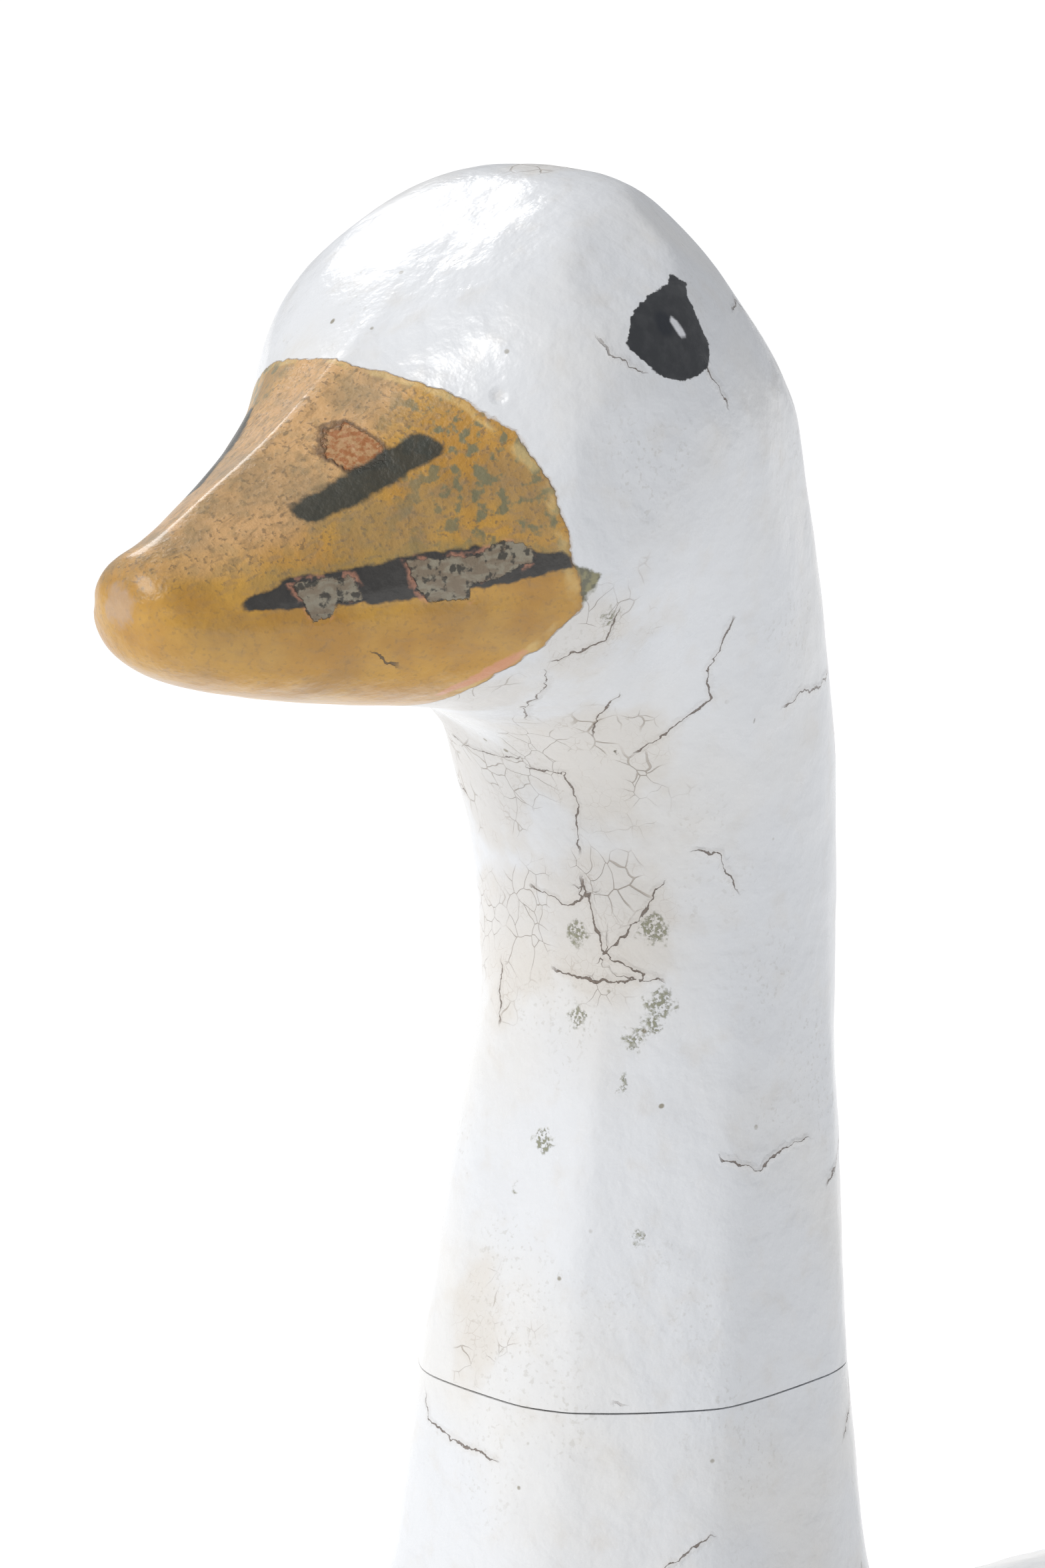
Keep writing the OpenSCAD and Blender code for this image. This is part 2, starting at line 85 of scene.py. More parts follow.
def solid(name, shape):
    """A new object from a bmesh, which is freed."""
    mesh = bpy.data.meshes.new(name)
    shape.to_mesh(mesh)
    shape.free()
    return added(name, mesh)


def dropped(piece):
    mesh = piece.data
    bpy.data.objects.remove(piece)
    bpy.data.meshes.remove(mesh)


def merged(name, solids, hulls=()):
    """One object with copies of some CAD nodes, and the convex hulls of groups of others."""
    shape = bmesh.new()
    for node in solids:
        shape.from_mesh(frame["nodes"][node].data)
    for group in hulls:
        hull = bmesh.new()
        for node in group:
            hull.from_mesh(frame["nodes"][node].data)
        found = bmesh.ops.convex_hull(hull, input=hull.verts)
        inside = [v for v in found["geom_interior"] if isinstance(v, bmesh.types.BMVert)]
        bmesh.ops.delete(hull, geom=inside, context="VERTS")
        part = bpy.data.meshes.new("hull")
        hull.to_mesh(part)
        hull.free()
        shape.from_mesh(part)
        bpy.data.meshes.remove(part)
    return solid(name, shape)


def baked(piece):
    """Applies the modifiers of a piece."""
    graph = bpy.context.evaluated_depsgraph_get()
    mesh = bpy.data.meshes.new_from_object(piece.evaluated_get(graph))
    piece.modifiers.clear()
    old = piece.data
    piece.data = mesh
    bpy.data.meshes.remove(old)
    return piece


def remeshed(piece, voxel):
    """The outer skin of a piece as an even mesh of quads."""
    remesh = piece.modifiers.new("Remesh", "REMESH")
    remesh.mode = "VOXEL"
    remesh.voxel_size = voxel
    baked(piece)
    shape = bmesh.new()
    shape.from_mesh(piece.data)
    left = set(shape.verts)
    shells = []
    while left:
        shell = {left.pop()}
        front = list(shell)
        while front:
            vert = front.pop()
            for edge in vert.link_edges:
                other = edge.other_vert(vert)
                if other in left:
                    left.discard(other)
                    shell.add(other)
                    front.append(other)
        shells.append(shell)
    largest = max(shells, key=len)
    extra = [v for shell in shells if shell is not largest for v in shell]
    bmesh.ops.delete(shape, geom=extra, context="VERTS")
    shape.to_mesh(piece.data)
    shape.free()
    return piece


def read(items, key, width, kind=np.float32):
    """One property of all vertices, edges, faces or loops, as rows."""
    flat = np.empty(len(items) * width, kind)
    items.foreach_get(key, flat)
    return flat.reshape(-1, width)


def points_of(mesh):
    return read(mesh.vertices, "co", 3).astype(float)


def node_points(node):
    return points_of(frame["nodes"][node].data)


def set_points(mesh, points):
    mesh.vertices.foreach_set("co", points.astype(np.float32).ravel())
    mesh.update()


def normals_of(mesh):
    return read(mesh.vertex_normals, "vector", 3).astype(float)


def edges_of(mesh):
    return read(mesh.edges, "vertices", 2, np.int32)


def smoothed(points, edges, rounds, share=None):
    """Laplacian smoothing; share is how far each point goes, from 0 to 1."""
    a, b = edges[:, 0], edges[:, 1]
    count = len(points)
    degree = np.bincount(a, minlength=count) + np.bincount(b, minlength=count)
    share = 0.5 if share is None else share[:, None]
    for _ in range(rounds):
        total = np.empty_like(points)
        for axis in range(3):
            total[:, axis] = (np.bincount(a, points[b, axis], count)
                              + np.bincount(b, points[a, axis], count))
        points = points + share * (total / degree[:, None] - points)
    return points


def ramp(value, low, high):
    """0 below low, 1 above high, smooth between them."""
    share = np.clip((value - low) / (high - low), 0, 1)
    return share * share * (3 - 2 * share)


def lumps(points, size, seed):
    """Smooth noise from about -1 to 1, with lumps of this size in metres."""
    shift = Vector((seed * 17.3, seed * 5.1, seed * 9.7))
    return np.array([noise.noise(Vector(p) / size + shift) for p in points])


# Cutting

def half_space(point, normal):
    """A large block with one face through a point, on the side that the normal points to."""
    size = 2.0
    shape = bmesh.new()
    bmesh.ops.create_cube(shape, size=size)
    turn = Vector(normal).to_track_quat("Z", "Y").to_matrix().to_4x4()
    place = Matrix.Translation(point) @ turn @ Matrix.Translation((0, 0, size / 2))
    shape.transform(place)
    return solid("half_space", shape)


def level(z, y=0.0):
    """A level plane that faces up."""
    return Vector((0, y, z)), Vector((0, 0, 1))


def drill(radius, start, end, sides=64):
    """A closed cylinder between two points."""
    axis = Vector(end) - Vector(start)
    shape = bmesh.new()
    bmesh.ops.create_cone(shape, cap_ends=True, segments=sides, radius1=radius,
                          radius2=radius, depth=axis.length)
    turn = axis.to_track_quat("Z", "Y").to_matrix().to_4x4()
    shape.transform(Matrix.Translation((Vector(start) + Vector(end)) / 2) @ turn)
    return solid("drill", shape)


def upright(radius, y, low, high):
    return drill(radius, (0, y, low), (0, y, high))


def block(low, high):
    """A closed box between two corners."""
    shape = bmesh.new()
    bmesh.ops.create_cube(shape, size=1.0)
    size = Vector(high) - Vector(low)
    shape.transform(Matrix.Translation((Vector(low) + Vector(high)) / 2)
                    @ Matrix.Diagonal((*size, 1)))
    return solid("block", shape)


def node_tool(node, drop=0.0):
    """A closed copy of a CAD node, moved down a little if asked."""
    shape = bmesh.new()
    shape.from_mesh(frame["nodes"][node].data)
    bmesh.ops.remove_doubles(shape, verts=shape.verts, dist=1e-6)
    shape.transform(Matrix.Translation((0, 0, -drop)))
    return solid("node_tool", shape)


def axis_of(node, other):
    """The ends of one node along the long axis of another."""
    guide = node_points(other)
    centre = (guide.min(0) + guide.max(0)) / 2
    axis = np.linalg.svd(guide - guide.mean(0), full_matrices=False)[2][0]
    axis = axis * np.sign(axis[2])
    along = (node_points(node) - centre) @ axis
    return Vector(centre + axis * along.min()), Vector(centre + axis * along.max())


def combined(piece, tool, operation):
    """Cuts a piece with a tool, or keeps what they share, and removes the tool."""
    cut = piece.modifiers.new("Cut", "BOOLEAN")
    cut.operation = operation
    cut.solver = "MANIFOLD"
    cut.object = tool
    baked(piece)
    dropped(tool)
    return piece


def joint_plane(node_a, node_b, towards):
    """A point and the normal of the flat face that two CAD nodes share."""
    grid = 1e-5
    rings = [{tuple(np.round(p / grid).astype(int)) for p in node_points(n)}
             for n in (node_a, node_b)]
    shared = np.array(sorted(rings[0] & rings[1]), float) * grid
    centre = shared.mean(0)
    normal = np.linalg.svd(shared - centre)[2][2]
    if normal @ np.array(towards) < 0:
        normal = -normal
    return Vector(centre), Vector(normal)


def flipped(plane):
    return plane[0], -plane[1]


def shaded(piece, source, skin):
    """Smooth normals on the skin as the uncut shape has them, and flat ones on cut faces."""
    mesh = piece.data
    count = len(mesh.polygons)
    centres = read(mesh.polygons, "center", 3)
    face_normals = read(mesh.polygons, "normal", 3)
    on_skin = np.zeros(count, bool)
    tolerance = 0.03 * MM
    for i in range(count):
        _, normal, _, distance = skin.find_nearest(centres[i])
        on_skin[i] = distance < tolerance and normal.dot(Vector(face_normals[i])) > 0.8
    loop_total = read(mesh.polygons, "loop_total", 1, np.int32).ravel()
    loop_vertex = read(mesh.loops, "vertex_index", 1, np.int32).ravel()
    loop_face = np.repeat(np.arange(count), loop_total)
    loop_skin = on_skin[loop_face]
    normals = normals_of(mesh)
    edge_vertices = np.intersect1d(loop_vertex[loop_skin], loop_vertex[~loop_skin])
    points = points_of(mesh)
    source_faces = source.data.polygons
    source_points = points_of(source.data)
    source_normals = normals_of(source.data)
    for v in edge_vertices:
        _, _, index, _ = skin.find_nearest(points[v])
        corners = np.array(source_faces[index].vertices)
        away = np.linalg.norm(source_points[corners] - points[v], axis=1)
        weights = 1 / (away + 0.01 * MM)
        mean = (source_normals[corners] * weights[:, None]).sum(0)
        normals[v] = mean / np.linalg.norm(mean)
    loops = np.where(loop_skin[:, None], normals[loop_vertex], face_normals[loop_face])
    mesh.polygons.foreach_set("use_smooth", np.ones(count, bool))
    mesh.normals_split_custom_set(loops.tolist())
    return piece


def parted(name, source, skin, planes, bores=()):
    """What is left of a sculpted shape on the sides of some planes that their normals point to."""
    piece = added(name, source.data.copy())
    for point, normal in planes:
        combined(piece, half_space(point, normal), "INTERSECT")
    for bore in bores:
        combined(piece, bore, "DIFFERENCE")
    return shaded(piece, source, skin)


# Carving

def neck_flats(points):
    """Moves that fill the neck out under its paint and leave it softly eight-sided."""
    flat = 0.957
    depth = 0.6
    fullness = 0.088
    height = points[:, 2] - SEAM_Z
    levels = np.arange(-96, 84, 6) * MM
    half, front, rear = [], [], []
    for level in levels:
        ring = points[np.abs(height - level) < 1.5 * MM]
        half.append(np.abs(ring[:, 0]).max())
        front.append(ring[:, 1].min())
        rear.append(ring[:, 1].max())
    half = np.interp(height, levels, half)
    front = np.interp(height, levels, front)
    rear = np.interp(height, levels, rear)
    reach = (rear - front) / 2
    u = points[:, 0] / half
    v = (points[:, 1] - (front + rear) / 2) / reach
    moves = np.zeros_like(points)
    for k in range(8):
        turn = math.radians(45 * k) + 0.07 * np.sin(height / 0.031 + 2 * k)
        over = np.clip(u * np.cos(turn) + v * np.sin(turn) - flat, 0, None)
        moves[:, 0] -= depth * over * np.cos(turn) * half
        moves[:, 1] -= depth * over * np.sin(turn) * reach
    moves *= (1 - ramp(height, 0.05, 0.085))[:, None]
    swell = fullness * (1 - ramp(height, 0.02, 0.09))
    moves[:, 0] += swell * u * half
    moves[:, 1] += swell * v * reach
    return moves * ramp(height, -0.1, -0.07)[:, None]


def planed(points, region, directions):
    """Flattens a region a little towards planes across some directions: (x, y, z, depth in mm)."""
    moves = np.zeros_like(points)
    soft = 0.85
    for x, y, z, depth in directions:
        normal = np.array(Vector((x, y, z)).normalized())
        along = points @ normal
        top = along[region > 0.5].max() - depth * MM
        over = np.clip(along - top, 0, None) * region
        moves -= soft * over[:, None] * normal
    return moves


def rough_hewn(points, normals):
    """Uneven carving under many coats of paint."""
    height = (0.55 * lumps(points, 0.036, 1) + 0.28 * lumps(points, 0.015, 2)
              + 0.1 * lumps(points, 0.006, 3))
    return normals * height[:, None] * MM


HEAD_FLATS = [
    (0, -0.5, 0.86, 0.5), (0.62, -0.25, 0.74, 1.6), (-0.62, -0.25, 0.74, 1.6),
    (0.55, 0.4, 0.73, 1.6), (-0.55, 0.4, 0.73, 1.6), (0, 0.72, 0.69, 1.2),
    (0.95, -0.3, 0.1, 1.1), (-0.95, -0.3, 0.1, 1.1), (0.9, 0.42, 0.05, 1.2),
    (-0.9, 0.42, 0.05, 1.2)
]


def sculpted_head():
    """Head, bill and neck in one skin, down to a little below the turning seam."""
    fillers = ["head_post", "bill_dowel", "head_screw", "screw_washer", "neck_bush",
               "friction_washer"]
    skin_nodes = ["head_block", "upper_mandible", "lower_mandible", "upper_neck",
                  "crown_plug", "neck_base"]
    piece = remeshed(merged("head_sculpt", skin_nodes + fillers), HEAD_VOXEL)
    points = points_of(piece.data)
    edges = edges_of(piece.data)
    y = points[:, 1] - NECK_Y
    tip = ramp(-y, 0.07, 0.1)
    points = smoothed(points, edges, 24, 0.5 - 0.35 * tip)
    height = points[:, 2] - HEAD_Z
    y = points[:, 1] - NECK_Y
    head = ramp(y, -0.07, -0.058) * ramp(height, 0.1, 0.12)
    points = points + neck_flats(points)
    points = points + planed(points, head, HEAD_FLATS)
    crown_ahead = 5.5 * MM
    points[:, 1] -= crown_ahead * ramp(height, 0.16, 0.188)
    points = smoothed(points, edges, 5)
    set_points(piece.data, points)
    points = points + rough_hewn(points, normals_of(piece.data))
    points = points + bill_relief(points, normals_of(piece.data))
    set_points(piece.data, smoothed(points, edges, 1))
    return piece


def bill_relief(points, normals):
    """The ridge along the top of the bill with a shallow flute beside it, and the mouth's groove."""
    x = points[:, 0]
    y = points[:, 1] - NECK_Y
    z = points[:, 2] - MOUTH_Z
    on_top = ramp(normals[:, 2], 0.2, 0.5)
    along = ramp(-y, 0.058, 0.075) * (1 - ramp(-y, 0.1, 0.114))
    ridge = 0.9 * np.exp(-(x / 0.0026) ** 2) - 0.45 * np.exp(-((np.abs(x) - 0.0085) / 0.005) ** 2)
    bill = ramp(-y, 0.05, 0.056) * ramp(np.abs(x), 0.004, 0.01)
    groove = -0.35 * np.exp(-(z / 0.0011) ** 2)
    height = ridge * on_top * along + groove * bill
    return normals * height[:, None] * MM


# Body

SEAT_FRONT = Vector((0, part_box("neck_base")[0].y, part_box("body_back")[1].z - 19 * MM))
SEAT_REAR = Vector((0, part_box("neck_base")[1].y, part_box("body_back")[1].z + 1 * MM))
SEAT_SLOPE = SEAT_REAR - SEAT_FRONT
SEAT_PLANE = (SEAT_FRONT, Vector((0, -SEAT_SLOPE.z, SEAT_SLOPE.y)).normalized())

# Lower edge of the folded wing, as (y, z) in mm from the neck axis and the ground
WING_EDGE = [(14, 132), (30, 104), (62, 84), (115, 76), (190, 82), (255, 98), (300, 116)]
BODY_FLATS = [
    (side * x, y, z, depth)
    for side in (-1, 1)
    for x, y, z, depth in ((1, 0, 0.1, 1.6), (0.85, 0, 0.53, 2.2), (0.5, 0.05, 0.86, 1.8),
                           (0.8, -0.6, 0.1, 2.6), (0.45, -0.85, 0.25, 2.4),
                           (0.55, -0.6, 0.58, 2.4), (0.8, 0.55, 0.25, 2.4),
                           (0.4, 0.8, 0.45, 2.4), (0.75, -0.25, -0.6, 2.0),
                           (0.6, 0.6, -0.5, 2.4))
] + [(0, -0.95, 0.3, 1.4), (0, 0.6, 0.8, 1.4)]


def wing_relief(points):
    """The folded wings, raised a little, with the edges of three long feathers cut in."""
    y = (points[:, 1] - NECK_Y) / MM
    z = points[:, 2] / MM
    edge_y, edge_z = np.array(WING_EDGE, float).T
    above = z - np.interp(y, edge_y, edge_z)
    shoulder = y - 14 - 0.03 * np.clip(z - 132, 0, None) ** 2
    inner = np.abs(points[:, 0]) / MM - 9 - 0.1 * np.clip(150 - y, 0, None)
    inside = np.minimum(np.minimum(above, shoulder), inner)
    height = 2.4 * ramp(inside, -1.5, 3.5) * ramp(-y, -315, -285)
    for k in (1, 2, 3):
        line = above - 12 * k - 0.02 * k * np.clip(y - 150, 0, None)
        reach = ramp(y, 55 + 14 * k, 80 + 14 * k) * (inside > 4)
        height += (0.7 * ramp(line, -5, 0) * (line < 0) - 0.5 * np.exp(-(line / 1.4) ** 2)) * reach
    return height


def sculpted_body():
    """Body and lower neck in one skin, up to a little above the turning seam."""
    solids = ["neck_base", "upper_neck", "head_post", "neck_bush", "friction_washer"]
    bodies = ["body_back", "body_belly", "bottom_board"]
    piece = remeshed(merged("body_sculpt", solids, [bodies]), BODY_VOXEL)
    points = points_of(piece.data)
    edges = edges_of(piece.data)
    y = points[:, 1] - NECK_Y
    off_seat = np.abs(points[:, 2] - np.interp(points[:, 1], (SEAT_FRONT.y, SEAT_REAR.y),
                                               (SEAT_FRONT.z, SEAT_REAR.z)))
    out = np.hypot(points[:, 0], y + 5 * MM)
    root = (1 - ramp(off_seat, 0.012, 0.03)) * ramp(out, 0.035, 0.05) * (1 - ramp(out, 0.085, 0.1))
    points = smoothed(points, edges, 8)
    points = smoothed(points, edges, 70, 0.6 * root)
    low = ramp(points[:, 2], 0.003, 0.02)
    region = low * (1 - ramp(points[:, 2], 0.17, 0.176))
    points = points + planed(points, region, BODY_FLATS)
    points = points + neck_flats(points)
    points = smoothed(points, edges, 3, 0.5 * low)
    set_points(piece.data, points)
    normals = normals_of(piece.data)
    height = wing_relief(points) * (1 - ramp(points[:, 2], 0.168, 0.178)) * MM
    points = points + normals * height[:, None]
    points = points + rough_hewn(points, normals) * low[:, None]
    set_points(piece.data, points)
    return piece


# Tail and wing tips

def local_axes(node):
    """Centre, length, width and thickness directions of a board, and its half sizes."""
    points = node_points(node)
    centre = (points.min(0) + points.max(0)) / 2
    _, _, axes = np.linalg.svd(points - points.mean(0), full_matrices=False)
    signs = [np.sign(axes[0][1]), np.sign(axes[1][0]), np.sign(axes[2][2])]
    axes = axes * np.array(signs)[:, None]
    local = (points - centre) @ axes.T
    return centre, axes, (local.max(0) - local.min(0)) / 2, (local.max(0) + local.min(0)) / 2


def feathered(name, node, count, fan, lap):
    """A board carved as a row or fan of overlapping feathers, with a shaft down each."""
    piece = remeshed(merged(name, [node]), BOARD_VOXEL)
    centre, axes, half, shift = local_axes(node)
    edges = edges_of(piece.data)
    points = smoothed(points_of(piece.data), edges, 5)
    set_points(piece.data, points)
    normals = normals_of(piece.data)
    local = ((points - centre) @ axes.T - shift) / half
    along, across = local[:, 0], local[:, 1]
    spread = 1 + fan * (along - 1) / 2
    place = (across / np.clip(spread, 0.2, None) + 1) / 2
    if lap == 0:
        place = np.abs(place - 0.5)
        step = (place * count) % 1
    else:
        step = ((place if lap > 0 else 1 - place) * count) % 1
    top = ramp(normals @ axes[2], 0.3, 0.7)
    under = ramp(-normals @ axes[2], 0.3, 0.7)
    shaft = np.exp(-((step - 0.5) / 0.06) ** 2)
    height = 0.9 * (0.5 - step) + 0.35 * shaft
    points = points + normals * (height * (top + 0.4 * under) * MM)[:, None]
    points = points + normals * (0.25 * lumps(points, 0.012, 7) * MM)[:, None]
    set_points(piece.data, smoothed(points, edges, 1))
    piece.data.polygons.foreach_set("use_smooth", np.ones(len(piece.data.polygons), bool))
    return piece


# Painted marks, in mm from the neck axis and the turning seam

# Where the yellow paint ends: (height, distance along the bird)
BILL_EDGE = [(118, -72), (123, -66), (128, -64), (132, -60), (138, -55.5), (147, -57.5),
             (160, -60.5), (166, -63), (170, -66), (173, -69.5), (176, -74), (181, -92)]
# Brush strokes as (y, z, radius), and GLINT, a painted highlight on the eye drawn the same way
NOSTRIL = [(-91, 154.5, 1.3), (-84, 157.5, 1.6), (-72.5, 163.5, 1.7)]
MOUTH = [(-104, 142, 0.8), (-97, 143.5, 2.2), (-87, 144, 2.7), (-78, 145, 3.3), (-68, 146, 3),
         (-58, 146, 1)]
PINK = [(-69, 125, 0.9), (-65.5, 128.5, 1.2), (-62, 131.5, 0.9)]
# GLINT is a painted highlight: a light grey spot in the eye's colour where a glint of light falls
GLINT = [(-36, 181, 0.7), (-35, 179, 0.7)]
PUPIL = [(-38, 181, 1.6), (-38, 180.5, 1.6)]
# Outlines as (y, z)
EYE = [(-32.5, 188), (-30, 186), (-31, 184.5), (-30.5, 181), (-29.5, 177), (-31, 173.5),
       (-34, 172.5), (-37, 172), (-41, 173), (-46, 178), (-43, 182.5), (-38.5, 185),
       (-33.5, 186.5)]
BARE_FRONT = [(-97.5, 145), (-88.5, 145.5), (-87.5, 142), (-91, 142), (-92, 140), (-95, 139),
              (-96, 142)]
BARE_REAR = [(-80.5, 147.5), (-71, 147.5), (-67.5, 149.5), (-63.5, 149), (-63, 146.5),
             (-68, 144), (-72, 143.5), (-72, 141), (-78, 141), (-80, 144)]
ALGAE = [(-58.5, 146), (-52.5, 143.5), (-55.5, 139), (-58, 141)]
CHIP = [(-83.5, 162), (-81, 165), (-78, 166.5), (-77, 164), (-78, 161.5), (-82.5, 160)]
# The worn tip, as (x, y, z, radius)
TIP_WORN = (0, -117.5, 142, 3.2)
# Cracks as lines of (x, y, z)
CRACKS = [
    [(37, -22, 131), (34.5, -24, 124), (33, -22, 119), (30, -25, 116), (24, -28, 111)],
    [(5, -33, 105), (10, -32, 105), (10.5, -30, 102), (9, -27.5, 93)],
    [(38, -49, 136), (36, -49, 133), (33, -55, 130)],
    [(29, -55, 127), (27, -53, 125), (19, -50, 120), (15, -45, 117)],
    [(26, -37, 120), (23, -37, 117), (20.5, -35.5, 114.5)],
    [(21, -21, 86), (18.5, -22.5, 81), (12.5, -24.5, 74)],
    [(9, -25.5, 85), (10.5, -25, 79), (12.5, -24.5, 74), (19.5, -20.5, 71)],
    [(-1, -26, 83), (5.5, -26, 81.5), (9.5, -25.5, 84)],
    [(4, -25.5, 70), (10.5, -25, 69.5), (19, -21, 70.5)],
    [(27, -17, 92.5), (29, -15, 92), (29.5, -12.5, 87)],
    [(34, -48.5, 178), (35.5, -48, 176), (37.5, -45, 174.5)],
    [(40.5, -31, 173.5), (41, -30, 171.5), (41.5, -28.5, 169)],
    [(-10.5, -25, 67.5), (-9.5, -26, 60.5)],
    [(-5, -25.5, 201.5), (-1, -24, 202), (4, -25, 201.5)],
    [(0, -31, 9), (7, -33, 5), (13, -33, 2), (22, -31, 1.5)],
    [(35, -82, 120), (27, -80, 127), (22, -84, 133)]
]
# Lichen and dirt as (x, y, z, radius)
LICHEN = [(20, -21, 79, 2.5), (20.5, -19.5, 66.5, 2.5), (19, -20, 63, 2.5), (8, -25.5, 63, 2),
          (17, -22, 60.5, 2), (16, -24, 53, 1.5), (21, -25, 28, 2), (1, -32, 33, 1.5),
          (5, -31, 42.5, 2), (7, -25, 77, 2), (37, -50, 137, 1.5), (-4, -34, 12, 1),
          (0, -34, 25, 1), (12, -38, -30, 1.5)]
SPECKS = [(35, -13.5, 114.5, 0.5), (20.5, -30.5, 110, 0.6), (15, -32.5, 16.5, 0.5),
          (21.5, -33, -19, 0.6), (30, -20, 140, 0.3), (39, -20, 160, 0.3)]
CRATERS = [(22.5, -56.5, 179, 1), (26, -62, 170.5, 1.7), (19.5, -63.5, 173, 1),
           (32, -56, 172.5, 0.6), (29, -60, 166, 0.8)]
# Patches of fine crazing as (x, y, z, radius)
CRAZED = [(15, -33, 108, 15), (36, -50, 134, 9), (0, -25, 202, 8), (12, -26, 80, 13),
          (18, -62, 124, 12), (0, -30, 10, 12)]


def local_mm(points):
    return (points - np.array(NECK_AXIS)) / MM


def side_view(points):
    """(y, z) in mm: what is painted on one side is painted on the other, a little off."""
    local = local_mm(points)
    far = (local[:, 0] < 0)[:, None]
    return local[:, 1:] + far * np.array([0.8, -0.6])


def in_stroke(points, stroke):
    """Depth in mm inside a brush stroke, below 0 outside it."""
    place = side_view(points)
    best = np.full(len(place), -99.0)
    for a, b in zip(stroke, stroke[1:]):
        a, b = np.array(a), np.array(b)
        run = b[:2] - a[:2]
        share = np.clip((place - a[:2]) @ run / (run @ run), 0, 1)
        away = np.linalg.norm(place - a[:2] - share[:, None] * run, axis=1)
        best = np.maximum(best, a[2] + share * (b[2] - a[2]) - away)
    return best


def in_outline(points, outline):
    """Depth in mm inside a closed outline, below 0 outside it."""
    place = side_view(points)
    away = np.full(len(place), 99.0)
    inside = np.zeros(len(place), bool)
    y, z = place.T
    for (y0, z0), (y1, z1) in zip(outline, outline[1:] + outline[:1]):
        run = np.array([y1 - y0, z1 - z0])
        share = np.clip((place - (y0, z0)) @ run / (run @ run), 0, 1)
        away = np.minimum(away, np.linalg.norm(place - (y0, z0) - share[:, None] * run, axis=1))
        if z0 != z1:
            crosses = (z0 > z) != (z1 > z)
            inside ^= crosses & (y < (y1 - y0) * (z - z0) / (z1 - z0) + y0)
    return np.where(inside, away, -away)


def in_spots(points, spots):
    """Depth in mm inside the nearest of some round spots."""
    local = local_mm(points)
    depths = [r - np.linalg.norm(local - (x, y, z), axis=1) for x, y, z, r in spots]
    return np.clip(np.max(depths, axis=0), -20, 20)


def crack_marks(points, normals, cracks, joints):
    """Distance across the nearest crack, with a sign that says which side, and nearness.
    Joints are heights in mm where the paint has cracked over a glue line, here and there."""
    local = local_mm(points)
    nearest = np.full(len(local), 50.0)
    across = np.full(len(local), 50.0)
    for line in cracks:
        for a, b in zip(line, line[1:]):
            a, run = np.array(a, float), np.array(b, float) - np.array(a, float)
            share = np.clip((local - a) @ run / (run @ run), 0, 1)
            off = local - a - share[:, None] * run
            away = np.linalg.norm(off, axis=1)
            side = np.cross(np.broadcast_to(run / np.linalg.norm(run), normals.shape), normals)
            signed = (side * off).sum(1)
            closer = away < nearest
            nearest = np.where(closer, away, nearest)
            across = np.where(closer, signed, across)
    broken = 40 * ramp(lumps(points, 0.05, 11), -0.1, 0.15) if joints else 0
    for height in joints:
        away = np.abs(local[:, 2] - height) + broken
        closer = away < nearest
        nearest = np.where(closer, away, nearest)
        across = np.where(closer, local[:, 2] - height, across)
    return across, 1 - ramp(nearest, 1.2, 2.4)


def random_cracks(skin, low, high, count, length, seed):
    """Wandering lines on a skin, started at random places in a box (all in mm)."""
    dice = np.random.default_rng(seed)
    origin = np.array(NECK_AXIS)
    lines = []
    while len(lines) < count:
        start = dice.uniform(low, high) * MM + origin
        place, normal, _, _ = skin.find_nearest(start)
        heading = Vector(dice.normal(size=3)).cross(normal).normalized()
        line = [(np.array(place) - origin) / MM]
        for _ in range(int(dice.integers(2, 6))):
            turn = Matrix.Rotation(dice.normal() * 0.6, 3, normal)
            heading = turn @ heading
            place = place + heading * length * MM * dice.uniform(0.5, 1.2)
            place, normal, _, _ = skin.find_nearest(place)
            line.append((np.array(place) - origin) / MM)
        lines.append([tuple(p) for p in line])
    return lines


def mirrored(spots, shift):
    """The same kind of marks on the bird's right side, moved a little."""
    dx, dy, dz = shift
    return [(-x + dx, y + dy, z + dz, *rest) for x, y, z, *rest in spots]


def mark(piece, name, values):
    layer = piece.data.attributes.new(name, "FLOAT", "POINT")
    layer.data.foreach_set("value", np.asarray(values, np.float32))


def mark_paint(piece, cracks, joints=()):
    """Stores on a piece how deep each of its points is inside each painted mark."""
    points = points_of(piece.data)
    local = local_mm(points)
    heights, edge = np.array(BILL_EDGE, float).T
    far_side = np.where(local[:, 0] < 0, 1.2, 0)
    mark(piece, "bill", np.interp(local[:, 2], heights, edge) + far_side - local[:, 1])
    strokes = {"nostril": NOSTRIL, "mouth": MOUTH, "glint": GLINT, "pupil": PUPIL}
    for name, stroke in strokes.items():
        mark(piece, name, in_stroke(points, stroke))
    for name, outline in {"eye": EYE, "algae": ALGAE}.items():
        mark(piece, name, in_outline(points, outline))
    bare = np.maximum(in_outline(points, BARE_FRONT), in_outline(points, BARE_REAR))
    mark(piece, "bare", bare)
    mark(piece, "chip", np.where(local[:, 0] > 0, in_outline(points, CHIP), -9))
    spots = {"lichen": (LICHEN, (2, 3, -9)), "speck": (SPECKS, (1, 4, -7)),
             "crater": (CRATERS, (3, 2, 3)), "crazed": (CRAZED, (3, 4, -6))}
    for name, (places, shift) in spots.items():
        mark(piece, name, in_spots(points, places + mirrored(places, shift)))
    mark(piece, "tip", in_spots(points, [TIP_WORN]))
    across, near = crack_marks(points, normals_of(piece.data), cracks, joints)
    mark(piece, "crack", across)
    mark(piece, "near_crack", near)


# Materials

